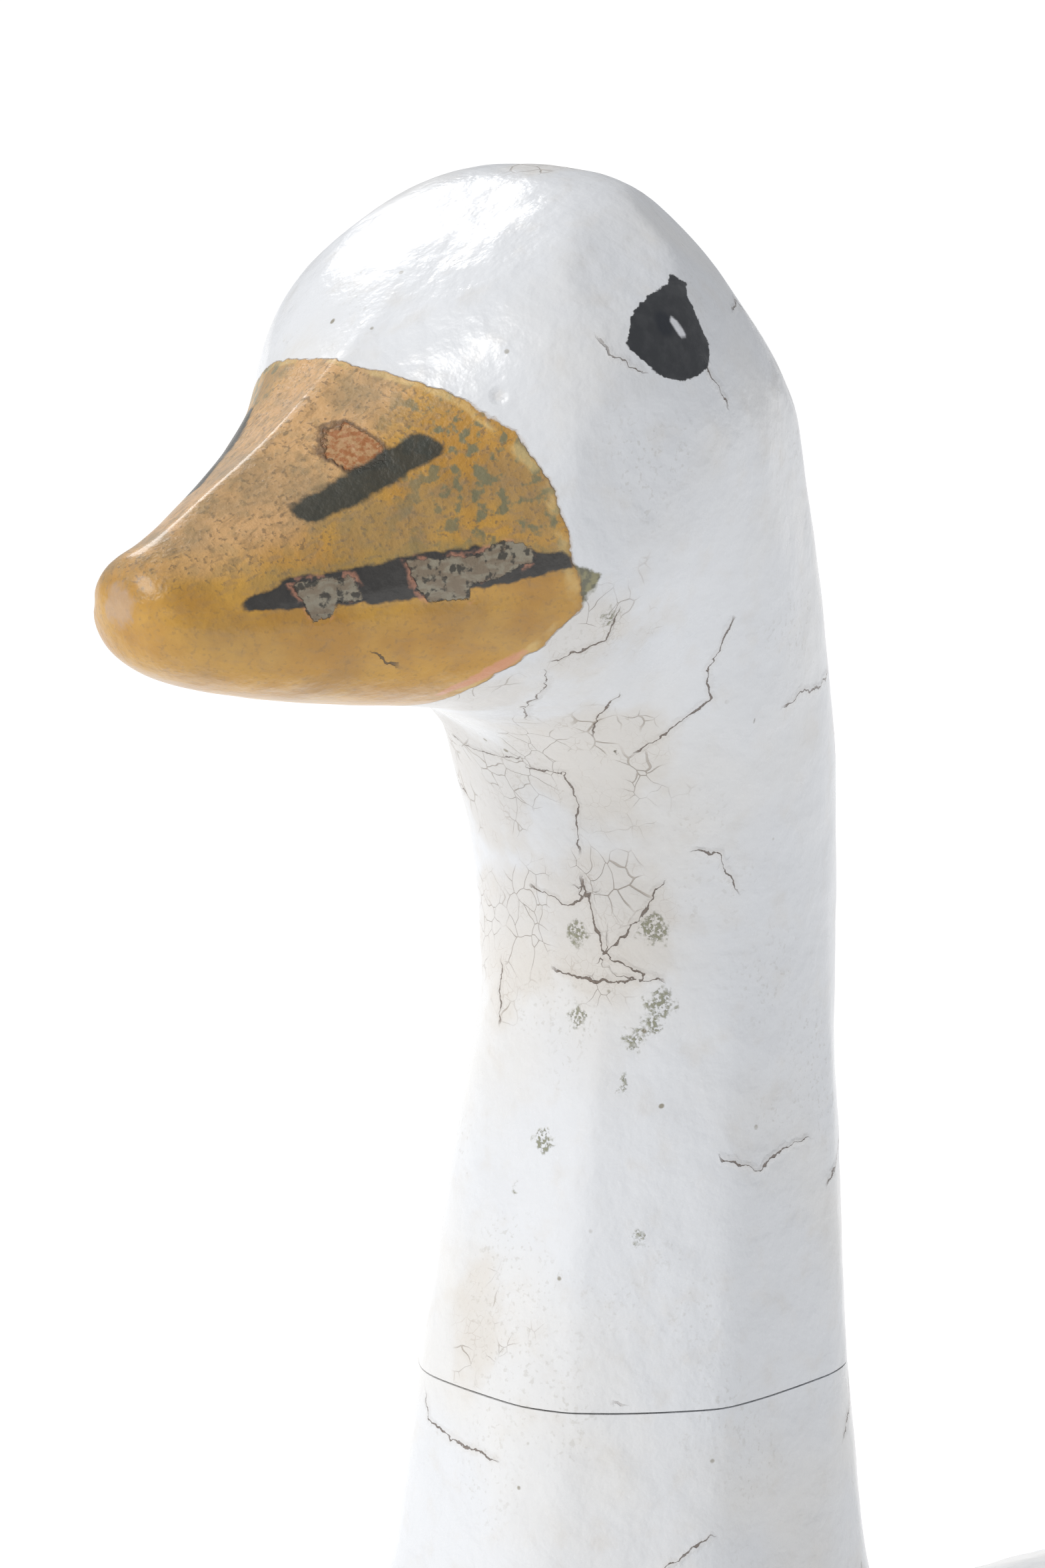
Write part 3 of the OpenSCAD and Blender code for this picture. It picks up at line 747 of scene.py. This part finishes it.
class Nodes:
    """A material's shader, built up node by node."""

    def __init__(self, name, roughness, colour=(0.8, 0.8, 0.8), metallic=0.0):
        self.material = bpy.data.materials.new(name)
        self.material.use_nodes = True
        self.tree = self.material.node_tree
        self.shader = self.tree.nodes["Principled BSDF"]
        self.shader.inputs["Base Color"].default_value = (*colour, 1)
        self.shader.inputs["Roughness"].default_value = roughness
        self.shader.inputs["Metallic"].default_value = metallic
        self.place = self.tree.nodes.new("ShaderNodeTexCoord").outputs["Object"]

    def plug(self, value, socket):
        if isinstance(value, bpy.types.NodeSocket):
            self.tree.links.new(value, socket)
        elif value is not None:
            socket.default_value = value

    def maths(self, operation, a, b=None, c=None):
        node = self.tree.nodes.new("ShaderNodeMath")
        node.operation = operation
        for socket, value in zip(node.inputs, (a, b, c)):
            self.plug(value, socket)
        return node.outputs[0]

    def times(self, a, b):
        return self.maths("MULTIPLY", a, b)

    def times_plus(self, a, b, c):
        return self.maths("MULTIPLY_ADD", a, b, c)

    def field(self, name):
        node = self.tree.nodes.new("ShaderNodeAttribute")
        node.attribute_name = name
        return node.outputs["Fac"]

    def noise(self, size, detail=3.0, stretch=(1, 1, 1), warp=0.0):
        """Noise from 0 to 1 whose lumps are this many millimetres across."""
        scale = self.tree.nodes.new("ShaderNodeMapping")
        scale.inputs["Scale"].default_value = [1 / (size * MM * s) for s in stretch]
        self.plug(self.place, scale.inputs["Vector"])
        node = self.tree.nodes.new("ShaderNodeTexNoise")
        node.inputs["Scale"].default_value = 1
        node.inputs["Detail"].default_value = detail
        node.inputs["Distortion"].default_value = warp
        self.plug(scale.outputs[0], node.inputs["Vector"])
        return node.outputs["Fac"]

    def cells(self, size, warp, edges=True):
        """Distance to the borders of irregular cells this many millimetres across."""
        bend = self.tree.nodes.new("ShaderNodeTexNoise")
        bend.inputs["Scale"].default_value = 0.5 / (size * MM)
        bend.inputs["Detail"].default_value = 2
        self.plug(self.place, bend.inputs["Vector"])
        shift = self.tree.nodes.new("ShaderNodeVectorMath")
        shift.operation = "MULTIPLY_ADD"
        self.plug(bend.outputs["Color"], shift.inputs[0])
        shift.inputs[1].default_value = [warp * size * MM] * 3
        self.plug(self.place, shift.inputs[2])
        node = self.tree.nodes.new("ShaderNodeTexVoronoi")
        node.feature = "DISTANCE_TO_EDGE" if edges else "F1"
        node.inputs["Scale"].default_value = 1 / (size * MM)
        self.plug(shift.outputs[0], node.inputs["Vector"])
        return node.outputs["Distance"]

    def between(self, value, low, high, out_low=0.0, out_high=1.0):
        """Smooth step of a value between two levels."""
        node = self.tree.nodes.new("ShaderNodeMapRange")
        node.interpolation_type = "SMOOTHSTEP"
        levels = (low, high, out_low, out_high)
        if low > high:
            levels = (high, low, out_high, out_low)
        self.plug(value, node.inputs["Value"])
        for name, level in zip(("From Min", "From Max", "To Min", "To Max"), levels):
            node.inputs[name].default_value = level
        return node.outputs["Result"]

    def mix(self, share, a, b):
        node = self.tree.nodes.new("ShaderNodeMix")
        node.data_type = "RGBA"
        self.plug(share, node.inputs["Factor"])
        self.plug(a if not isinstance(a, tuple) else (*a, 1), node.inputs[6])
        self.plug(b if not isinstance(b, tuple) else (*b, 1), node.inputs[7])
        return node.outputs[2]

    def over(self, colour, tint, mark, strength=None):
        """A colour with a tint over it where a mark is 1."""
        if strength is not None:
            mark = self.times(mark, strength)
        return self.mix(mark, colour, tint)

    def raised(self, height, *layers):
        """A height in mm, raised or sunk by an amount where each mark is 1."""
        for mark, amount in layers:
            height = self.times_plus(mark, amount, height)
        return height

    def ragged(self, name, amount, size=2.0):
        """A painted mark's depth with an uneven edge."""
        off = self.maths("SUBTRACT", self.noise(size), 0.5)
        return self.times_plus(off, amount, self.field(name))

    def finish(self, colour, height=None, roughness=None):
        """Connects the colour and a bump height in millimetres."""
        self.plug(colour, self.shader.inputs["Base Color"])
        self.plug(roughness, self.shader.inputs["Roughness"])
        if height is not None:
            bump = self.tree.nodes.new("ShaderNodeBump")
            bump.inputs["Distance"].default_value = MM
            bump.inputs["Strength"].default_value = 1.0
            self.plug(height, bump.inputs["Height"])
            self.plug(bump.outputs[0], self.shader.inputs["Normal"])
        return self.material


WHITE = (0.70, 0.715, 0.74)
WHITE_WARM = (0.72, 0.70, 0.665)
CREAM = (0.62, 0.57, 0.50)
OCHRE = (0.53, 0.29, 0.048)
OCHRE_DEEP = (0.43, 0.215, 0.03)
TAN = (0.60, 0.36, 0.165)
CHARCOAL = (0.022, 0.024, 0.028)
BARE_WOOD = (0.21, 0.165, 0.115)
CRACK_BROWN = (0.10, 0.06, 0.035)
SALMON = (0.62, 0.28, 0.17)


def in_cracks(n):
    """Thin cracks where the crack mark crosses zero, and their lifted lips."""
    off = n.maths("SUBTRACT", n.noise(2.2, 4.0), 0.5)
    across = n.maths("ABSOLUTE", n.times_plus(off, 2.6, n.field("crack")))
    width = n.between(n.noise(3.0), 0.35, 0.75, 0.05, 0.27)
    line = n.between(n.maths("DIVIDE", across, width), 1.3, 0.6)
    line = n.times(line, n.field("near_crack"))
    lip = n.times(n.between(across, 1.2, 0.15), n.field("near_crack"))
    return line, lip


def in_crazing(n, size):
    """A fine net of cracks inside the crazed patches, broken up here and there."""
    patch = n.between(n.ragged("crazed", 22.0, 9.0), -3.0, 4.0)
    width = n.between(n.noise(4 * size), 0.4, 0.7, 0.008, 0.035)
    net = n.between(n.maths("DIVIDE", n.cells(size, 1.3), width), 1.5, 0.6)
    broken = n.between(n.noise(3 * size), 0.44, 0.58)
    return n.times(n.times(net, broken), patch), patch


def eye_paint(n, colour):
    """The brushed eye: charcoal and a darker pupil, with one small painted highlight (the glint) in
    its colour.
    """
    eye = n.between(n.ragged("eye", 1.0, 0.9), -0.1, 0.12)
    pupil = n.between(n.ragged("pupil", 0.5, 1.0), -0.6, 0.6)
    iris = n.mix(n.between(n.noise(2.0, 4.0), 0.4, 0.7), CHARCOAL, (0.036, 0.038, 0.042))
    iris = n.over(iris, (0.008, 0.011, 0.018), pupil)
    # Painted highlight: a light grey glint put into the eye's colour
    iris = n.over(iris, (0.66, 0.67, 0.70), n.between(n.ragged("glint", 0.3, 0.8), -0.25, 0.3))
    return n.mix(eye, colour, iris), eye


def stained(n, colour):
    """Lichen, dirt, dark spots and algae over the white."""
    lichen = n.between(n.ragged("lichen", 4.4, 1.4), -0.6, 0.7)
    lichen = n.times(lichen, n.between(n.noise(0.55, 4.0), 0.42, 0.58))
    colour = n.over(colour, (0.19, 0.19, 0.10), lichen, 0.85)
    dirt = n.between(n.ragged("speck", 0.5, 0.5), -0.1, 0.2)
    colour = n.over(colour, (0.10, 0.08, 0.05), dirt, 0.9)
    dots = n.between(n.cells(7.0, 0.3, edges=False), 0.08, 0.04)
    rare = n.between(n.noise(15.0), 0.5, 0.6)
    colour = n.over(colour, (0.20, 0.17, 0.10), n.times(dots, rare), 0.8)
    grime = n.times(n.between(n.noise(0.9, 5.0), 0.56, 0.68),
                    n.between(n.noise(24.0), 0.5, 0.66))
    colour = n.over(colour, (0.30, 0.27, 0.20), grime, 0.22)
    algae = n.between(n.ragged("algae", 2.0, 1.5), -0.3, 0.4)
    green = n.mix(n.between(n.noise(1.2, 4.0), 0.4, 0.6), (0.09, 0.085, 0.035), (0.22, 0.20, 0.08))
    return n.over(colour, green, algae, 0.92), lichen


def white_coat(n):
    """Old glossy white in many coats: cool, yellowed in patches, cracked, spotted."""
    crack, lip = in_cracks(n)
    craze, patch = in_crazing(n, 4.2)
    fine, _ = in_crazing(n, 1.7)
    colour = n.mix(n.between(n.noise(38.0), 0.42, 0.72, 0, 0.6), WHITE, WHITE_WARM)
    colour = n.over(colour, CREAM, n.between(n.noise(5.0, 4.0), 0.5, 0.8, 0, 0.25))
    colour = n.over(colour, CREAM, patch, 0.45)
    colour = n.over(colour, (0.36, 0.30, 0.24), fine, 0.3)
    colour = n.over(colour, (0.24, 0.18, 0.12), craze, 0.6)
    colour = n.over(colour, (0.45, 0.36, 0.26), lip, 0.1)
    colour = n.over(colour, CRACK_BROWN, crack, 0.85)
    colour = n.over(colour, CREAM, n.between(n.ragged("crater", 0.6, 1.0), -0.1, 0.5, 0, 0.25))
    colour, lichen = stained(n, colour)
    colour, eye = eye_paint(n, colour)
    height = n.raised(n.times(n.noise(8.0, 4.0), 0.75),
                      (n.noise(1.8, 3.0), 0.12), (crack, -0.3), (lip, 0.14), (craze, -0.10),
                      (eye, 0.15), (n.between(n.field("crater"), -0.5, 0.8), -0.5),
                      (lichen, 0.12))
    roughness = n.times_plus(n.noise(12.0), 0.25, 0.17)
    return colour, height, n.times_plus(patch, 0.12, roughness)


def bill_wear(n, colour, grain, upper):
    """Bare wood, a chip and the mouth's black line in the ochre."""
    rim = n.between(n.ragged("chip", 1.4, 1.2), -0.8, -0.2, 0, 0.8)
    colour = n.over(colour, (0.10, 0.05, 0.02), rim)
    chip = n.between(n.ragged("chip", 1.4, 1.2), -0.2, 0.25)
    chipped = n.mix(n.between(n.noise(1.0), 0.4, 0.6), (0.33, 0.12, 0.03), (0.44, 0.25, 0.11))
    colour = n.over(colour, chipped, chip)
    smear = n.between(n.ragged("mouth", 3.0, 3.0), -2.4, 0.0, 0, 0.45)
    colour = n.over(colour, (0.24, 0.19, 0.07), smear, upper)
    mouth = n.between(n.ragged("mouth", 1.6, 2.2), -0.35, 0.25)
    black = n.mix(n.noise(1.6, 4.0), (0.014, 0.013, 0.012), (0.05, 0.045, 0.04))
    colour = n.over(colour, black, mouth)
    edge = n.ragged("bare", 1.6, 1.1)
    bare = n.between(edge, -0.2, 0.15)
    lifted = n.between(n.noise(3.0), 0.5, 0.6, 0, 0.5)
    colour = n.over(colour, SALMON, n.between(edge, -1.0, -0.2), lifted)
    old_wood = n.mix(n.between(grain, 0.4, 0.6), BARE_WOOD, (0.27, 0.24, 0.18))
    soot = n.between(n.noise(1.4, 5.0), 0.52, 0.62, 0, 0.85)
    colour = n.over(colour, n.over(old_wood, (0.03, 0.028, 0.024), soot), bare)
    return colour, bare, chip


def ochre_coat(n):
    """Ochre over wood: tan and gritty on the ridge, mildewed, worn bare at the mouth."""
    grain = n.noise(1.3, 4.0, (1, 5, 1), 0.6)
    grit = n.noise(0.8, 5.0)
    upper = n.field("upper")
    ridge = n.between(n.times_plus(n.noise(9.0, 4.0), 0.6, n.field("ridge")), 0.55, 1.1)
    colour = n.mix(n.between(n.noise(11.0, 4.0), 0.35, 0.65), OCHRE, OCHRE_DEEP)
    colour = n.over(colour, TAN, ridge, 0.85)
    dirty = n.times_plus(upper, 0.4, 0.24)
    colour = n.over(colour, (0.33, 0.20, 0.085), n.between(grain, 0.48, 0.66), dirty)
    colour = n.over(colour, (0.17, 0.11, 0.055), n.between(grit, 0.56, 0.66), dirty)
    grime = n.times(n.between(n.noise(14.0, 4.0), 0.48, 0.64), dirty)
    colour = n.over(colour, (0.26, 0.19, 0.10), grime, 0.75)
    mottle = n.times(n.between(n.noise(2.4, 5.0), 0.5, 0.6), n.field("mildew"))
    colour = n.over(colour, (0.17, 0.16, 0.085), mottle, 0.75)
    off_edge = n.maths("ABSOLUTE", n.maths("SUBTRACT", n.ragged("bill", 2.6, 4.0), 0.9))
    rim = n.times(n.between(off_edge, 1.3, 0.3), n.between(n.noise(5.0), 0.4, 0.6))
    colour = n.over(colour, (0.66, 0.48, 0.20), rim, 0.55)
    colour = n.over(colour, SALMON, n.between(n.ragged("pink", 1.6, 2.0), -0.3, 0.4), 0.8)
    tip = n.between(n.ragged("tip", 3.5, 1.6), -1.0, 1.0)
    colour = n.over(colour, (0.47, 0.33, 0.24), tip, 0.6)
    colour, bare, chip = bill_wear(n, colour, grain, upper)
    dark = n.mix(n.noise(3.0), (0.016, 0.020, 0.015), (0.040, 0.042, 0.030))
    nostril = n.between(n.ragged("nostril", 1.3, 2.0), -0.35, 0.3)
    colour = n.over(colour, dark, nostril, 0.96)
    crack, lip = in_cracks(n)
    colour = n.over(colour, (0.06, 0.04, 0.02), crack, 0.85)
    height = n.raised(n.times(n.noise(6.0, 4.0), 0.9),
                      (grit, n.times_plus(upper, 0.16, 0.05)), (bare, -0.35),
                      (chip, -0.4), (crack, -0.3), (lip, 0.1))
    roughness = n.times_plus(n.noise(8.0), 0.22, 0.24)
    roughness = n.times_plus(upper, 0.14, roughness)
    return colour, height, n.times_plus(bare, 0.4, roughness)


def glossy(name):
    n = Nodes(name, 0.3)
    n.shader.inputs["Coat Weight"].default_value = 0.3
    n.shader.inputs["Coat Roughness"].default_value = 0.16
    return n


def white_paint():
    n = glossy("white_paint")
    return n.finish(*white_coat(n))


def bill_paint():
    """The ochre of the bill, up to its ragged edge with the white of the head."""
    n = glossy("bill_paint")
    white, white_height, white_rough = white_coat(n)
    ochre, ochre_height, ochre_rough = ochre_coat(n)
    fine = n.maths("SUBTRACT", n.noise(1.2, 3.0), 0.5)
    depth = n.times_plus(fine, 0.7, n.ragged("bill", 2.6, 4.0))
    share = n.between(depth, -0.12, 0.12)
    flap = n.between(n.maths("ABSOLUTE", depth), 0.5, 0.0, 0, 0.35)

    def blended(ochre_value, white_value):
        extra = n.times(share, n.maths("SUBTRACT", ochre_value, white_value))
        return n.maths("ADD", extra, white_value)

    rough = blended(ochre_rough, white_rough)
    height = n.raised(blended(ochre_height, white_height), (n.between(depth, 0.0, -0.3), 0.2))
    colour = n.mix(flap, n.mix(share, white, ochre), (0.30, 0.17, 0.06))
    return n.finish(colour, height, rough)


def wood(name, light, dark, ring, along):
    """Bare wood: growth rings across, grain along one axis (0, 1 or 2)."""
    n = Nodes(name, 0.62)
    stretch = [1.0, 1.0, 1.0]
    stretch[along] = 14.0
    rings = n.noise(ring, 2.0, stretch, 1.2)
    fibres = n.noise(0.7, 3.0, stretch)
    colour = n.mix(n.between(rings, 0.35, 0.65), light, dark)
    colour = n.mix(n.between(fibres, 0.45, 0.75, 0, 0.5), colour, dark)
    height = n.times_plus(fibres, 0.12, n.times(rings, 0.2))
    return n.finish(colour, height)


def metal(name, colour, tarnish, roughness, size):
    n = Nodes(name, roughness, metallic=1.0)
    stain = n.between(n.noise(size, 5.0), 0.42, 0.68)
    height = n.times(n.noise(size / 4, 4.0), 0.12)
    rough = n.times_plus(stain, 0.3, roughness)
    return n.finish(n.mix(stain, colour, tarnish), height, rough)


def rusty_steel():
    """Dull steel with brown rust in patches."""
    n = Nodes("steel", 0.45)
    rust = n.between(n.noise(6.0, 6.0), 0.46, 0.6)
    shade = n.mix(n.noise(1.5, 4.0), (0.16, 0.062, 0.025), (0.30, 0.13, 0.05))
    n.plug(n.maths("SUBTRACT", 1.0, rust), n.shader.inputs["Metallic"])
    height = n.times(n.times(rust, n.noise(0.8, 4.0)), 0.3)
    return n.finish(n.mix(rust, (0.42, 0.41, 0.39), shade), height,
                    n.times_plus(rust, 0.42, 0.36))


def lead():
    n = Nodes("lead", 0.55, metallic=0.7)
    bloom = n.between(n.noise(14.0, 5.0), 0.4, 0.65)
    height = n.times(n.noise(9.0, 5.0), 0.9)
    return n.finish(n.mix(bloom, (0.17, 0.175, 0.185), (0.36, 0.365, 0.37)), height)


def leather():
    n = Nodes("leather", 0.7)
    pores = n.cells(1.1, 0.5)
    colour = n.mix(n.between(n.noise(8.0), 0.35, 0.7), (0.16, 0.075, 0.032), (0.26, 0.13, 0.06))
    return n.finish(colour, n.times(pores, 0.3))


# Finished pieces

def finished(piece, node, body, material):
    piece.data.materials.clear()
    piece.data.materials.append(material)
    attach(piece, body)
    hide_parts(node)
    return piece


def post_bore(low, high):
    radius = (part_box("head_post")[1].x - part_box("head_post")[0].x) / 2
    return upright(radius, NECK_Y, low, high)


def mark_bill(piece):
    """Where the ridge, the mildew and the thin pink strips of the bill are."""
    local = local_mm(points_of(piece.data))
    x, y, z = np.abs(local[:, 0]), local[:, 1], local[:, 2]
    upper = ramp(z, 143, 147)
    mark(piece, "upper", upper)
    mark(piece, "ridge", ramp(-x, -26, -4) * (0.35 + 0.65 * ramp(y, -122, -92)) * upper)
    behind = ramp(y, -84, -70) * ramp(x, 10, 20) * (1 - ramp(x, 40, 44))
    mark(piece, "mildew", (behind * ramp(z, 146, 152) + 0.25) * upper)
    mark(piece, "pink", in_stroke(points_of(piece.data), PINK))


def head_pieces(white, bill):
    source = sculpted_head()
    skin = BVHTree.FromObject(source, bpy.context.evaluated_depsgraph_get())
    jaw = joint_plane("head_block", "upper_neck", (0, 0, 1))
    ahead = joint_plane("upper_mandible", "head_block", (0, -1, 0))
    mouth = level(MOUTH_Z, BILL_Y)
    seam = level(HEAD_Z, NECK_Y)
    cracks = CRACKS + random_cracks(skin, (-45, -60, 60), (-10, 40, 200), 12, 6, 4)
    cracks = cracks + random_cracks(skin, (5, 0, 40), (45, 40, 200), 9, 6, 5)

    plug_low, plug_high = axis_of("crown_plug", "head_screw")
    washer_low, _ = axis_of("screw_washer", "head_screw")
    plug_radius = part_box("crown_plug")[1].x
    beyond = plug_high + (plug_high - plug_low)
    post_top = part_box("head_post")[1].z
    dowel_low, dowel_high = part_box("bill_dowel")
    dowel_radius = (dowel_high.x - dowel_low.x) / 2
    dowel_axis = (dowel_low + dowel_high) / 2

    def dowel_bore():
        return drill(dowel_radius, (0, dowel_low.y, dowel_axis.z), (0, dowel_high.y, dowel_axis.z))

    def plug_hole(low):
        return drill(plug_radius, low, beyond)

    head = parted("painted_head_block", source, skin, [jaw, flipped(ahead)],
                  [post_bore(HEAD_Z - MM, post_top), dowel_bore(), plug_hole(washer_low)])
    upper = parted("painted_upper_mandible", source, skin, [ahead, mouth], [dowel_bore()])
    lower = parted("painted_lower_mandible", source, skin, [ahead, flipped(mouth)])
    neck = parted("painted_upper_neck", source, skin, [flipped(jaw), seam],
                  [post_bore(HEAD_Z - MM, post_top)])
    plug = added("painted_crown_plug", source.data.copy())
    combined(plug, plug_hole(plug_low), "INTERSECT")
    shaded(plug, source, skin)
    dropped(source)
    for piece, node, material, slot_name in (
            (head, "head_block", bill, "white_paint"),
            (upper, "upper_mandible", bill, "bill_paint"),
            (lower, "lower_mandible", bill, "bill_paint"),
            (neck, "upper_neck", white, "white_paint"),
            (plug, "crown_plug", white, "white_paint")):
        finished(piece, node, "head", material)
        mark_paint(piece, cracks)
        mark_bill(piece)


def body_pieces(white):
    source = sculpted_body()
    skin = BVHTree.FromObject(source, bpy.context.evaluated_depsgraph_get())
    cracks = random_cracks(skin, (-120, -90, -250), (120, 400, -20), 46, 11, 6)
    cracks = cracks + CRACKS + random_cracks(skin, (-40, -40, -70), (40, 40, -5), 8, 6, 7)
    joints = [(SPLIT_Z - SEAM_Z) / MM, (BOARD_Z - SEAM_Z) / MM]
    ground = level(0)
    board_top = level(BOARD_Z)
    split = level(SPLIT_Z)
    seam = level(SEAM_Z, NECK_Y)

    socket = node_points("stake_socket")
    socket_y = middle("stake_socket").y
    tube = socket[socket[:, 2] > BOARD_Z + MM]
    tube_radius = np.hypot(tube[:, 0], tube[:, 1] - socket_y).max()
    weight_low, weight_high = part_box("ballast_weight")
    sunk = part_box("stake_socket")[0].z + 0.1 * MM
    board_cuts = [
        block((weight_low.x, weight_low.y, -MM), weight_high),
        upright(tube_radius, socket_y, -MM, BOARD_Z + MM),
        node_tool("stake_socket"), node_tool("stake_socket", sunk),
        node_tool("bottom_screws"), node_tool("bottom_screws", sunk)
    ]
    washer_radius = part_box("friction_washer")[1].x + 0.3 * MM
    washer_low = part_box("friction_washer")[0].z - 0.1 * MM
    bush_low, bush_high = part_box("neck_bush")
    neck_cuts = [
        upright(washer_radius, NECK_Y, washer_low, SEAM_Z + MM),
        upright(bush_high.x, NECK_Y, bush_low.z, SEAM_Z)
    ]
    eye_cut = node_tool("tie_eye")

    back = parted("painted_back", source, skin, [split, flipped(SEAT_PLANE)])
    belly = parted("painted_belly", source, skin, [board_top, flipped(split)], [eye_cut])
    board = parted("painted_bottom_board", source, skin, [ground, flipped(board_top)], board_cuts)
    neck = parted("painted_neck_base", source, skin, [SEAT_PLANE, flipped(seam)], neck_cuts)
    dropped(source)
    for piece, node in ((back, "body_back"), (belly, "body_belly"),
                        (board, "bottom_board"), (neck, "neck_base")):
        finished(piece, node, "body", white)
        mark_paint(piece, cracks, joints)


def rear_pieces(white):
    tail = feathered("carved_tail", "tail_board", 5, 0.45, 0)
    left = feathered("carved_wing_tip_left", "wing_tip_left", 3, 0.5, 1)
    right = feathered("carved_wing_tip_right", "wing_tip_right", 3, 0.5, -1)
    for piece, node in ((tail, "tail_board"), (left, "wing_tip_left"), (right, "wing_tip_right")):
        finished(piece, node, "body", white)
        mark_paint(piece, [[(0, 355, -150), (4, 380, -150)]])


def dress_frame():
    """Gives every CAD part that stays visible its own finish."""
    finishes = {
        "hardwood": wood("hardwood", (0.42, 0.24, 0.11), (0.27, 0.135, 0.055), 5.0, 2),
        "softwood": wood("softwood", (0.60, 0.43, 0.24), (0.44, 0.27, 0.12), 6.0, 1),
        "steel": rusty_steel(),
        "brass": metal("brass", (0.62, 0.43, 0.16), (0.22, 0.15, 0.065), 0.32, 7.0),
        "lead": lead(),
        "leather": leather()
    }
    for part in frame["record"]["subparts"]:
        if part["material_slot"] in finishes:
            mesh = frame["nodes"][part["node"]].data
            mesh.materials.clear()
            mesh.materials.append(finishes[part["material_slot"]])


# Stage

def floor():
    mesh = bpy.data.meshes.new("floor")
    size = 30.0
    corners = [(-size, -size, 0), (size, -size, 0), (size, size, 0), (-size, size, 0)]
    mesh.from_pydata(corners, [], [(0, 1, 2, 3)])
    ground = added("floor", mesh)
    n = Nodes("floor", 0.9)
    shade = n.mix(n.noise(900.0, 2.0), (0.91, 0.91, 0.91), (0.94, 0.94, 0.94))
    n.shader.inputs["Emission Color"].default_value = (1, 1, 1, 1)
    n.shader.inputs["Emission Strength"].default_value = 0.3
    mesh.materials.append(n.finish(shade))


def light(name, kind, strength, direction, distance, size, colour):
    """A light that shines on the neck from a direction."""
    data = bpy.data.lights.new(name, kind)
    data.energy = strength
    data.color = colour
    if kind == "SUN":
        data.angle = size
    else:
        data.shape = "DISK"
        data.size = size
    lamp = bpy.data.objects.new(name, data)
    towards = Vector(direction).normalized()
    lamp.location = Vector((0, NECK_Y, SEAM_Z + 0.1)) + towards * distance
    lamp.rotation_euler = towards.to_track_quat("Z", "Y").to_euler()
    lamp.visible_camera = False
    bpy.context.scene.collection.objects.link(lamp)


def lights():
    light("key", "SUN", 1.9, (-0.28, -0.85, 0.72), 3.0, 0.5, (1.0, 0.985, 0.96))
    light("rim", "AREA", 3.2, (-0.74, 0.2, 0.62), 1.3, 0.35, (1.0, 1.0, 1.0))
    world = bpy.data.worlds.new("sky")
    world.use_nodes = True
    background = world.node_tree.nodes["Background"]
    background.inputs["Color"].default_value = (0.955, 0.97, 1.0, 1)
    background.inputs["Strength"].default_value = 0.5
    bpy.context.scene.world = world
    bpy.context.scene.view_settings.view_transform = "Standard"


def camera():
    """Close on the head and neck, from the bird's left front and a little above."""
    data = bpy.data.cameras.new("camera")
    data.sensor_fit = "VERTICAL"
    data.sensor_height = 36.0
    data.lens = 122.45
    data.clip_end = 200.0
    turn, down, distance = math.radians(45), math.radians(12), 0.890
    right = Vector((math.cos(turn), math.sin(turn), 0))
    forward = Vector((-math.sin(turn) * math.cos(down), math.cos(turn) * math.cos(down),
                      -math.sin(down)))
    target = Vector((0, NECK_Y, SEAM_Z + 0.097)) - right * 0.022
    eye = bpy.data.objects.new("camera", data)
    eye.location = target - forward * distance
    eye.rotation_euler = forward.to_track_quat("-Z", "Y").to_euler()
    bpy.context.scene.collection.objects.link(eye)
    bpy.context.scene.camera = eye


def main():
    white = white_paint()
    head_pieces(white, bill_paint())
    body_pieces(white)
    rear_pieces(white)
    dress_frame()
    floor()
    lights()
    camera()


main()
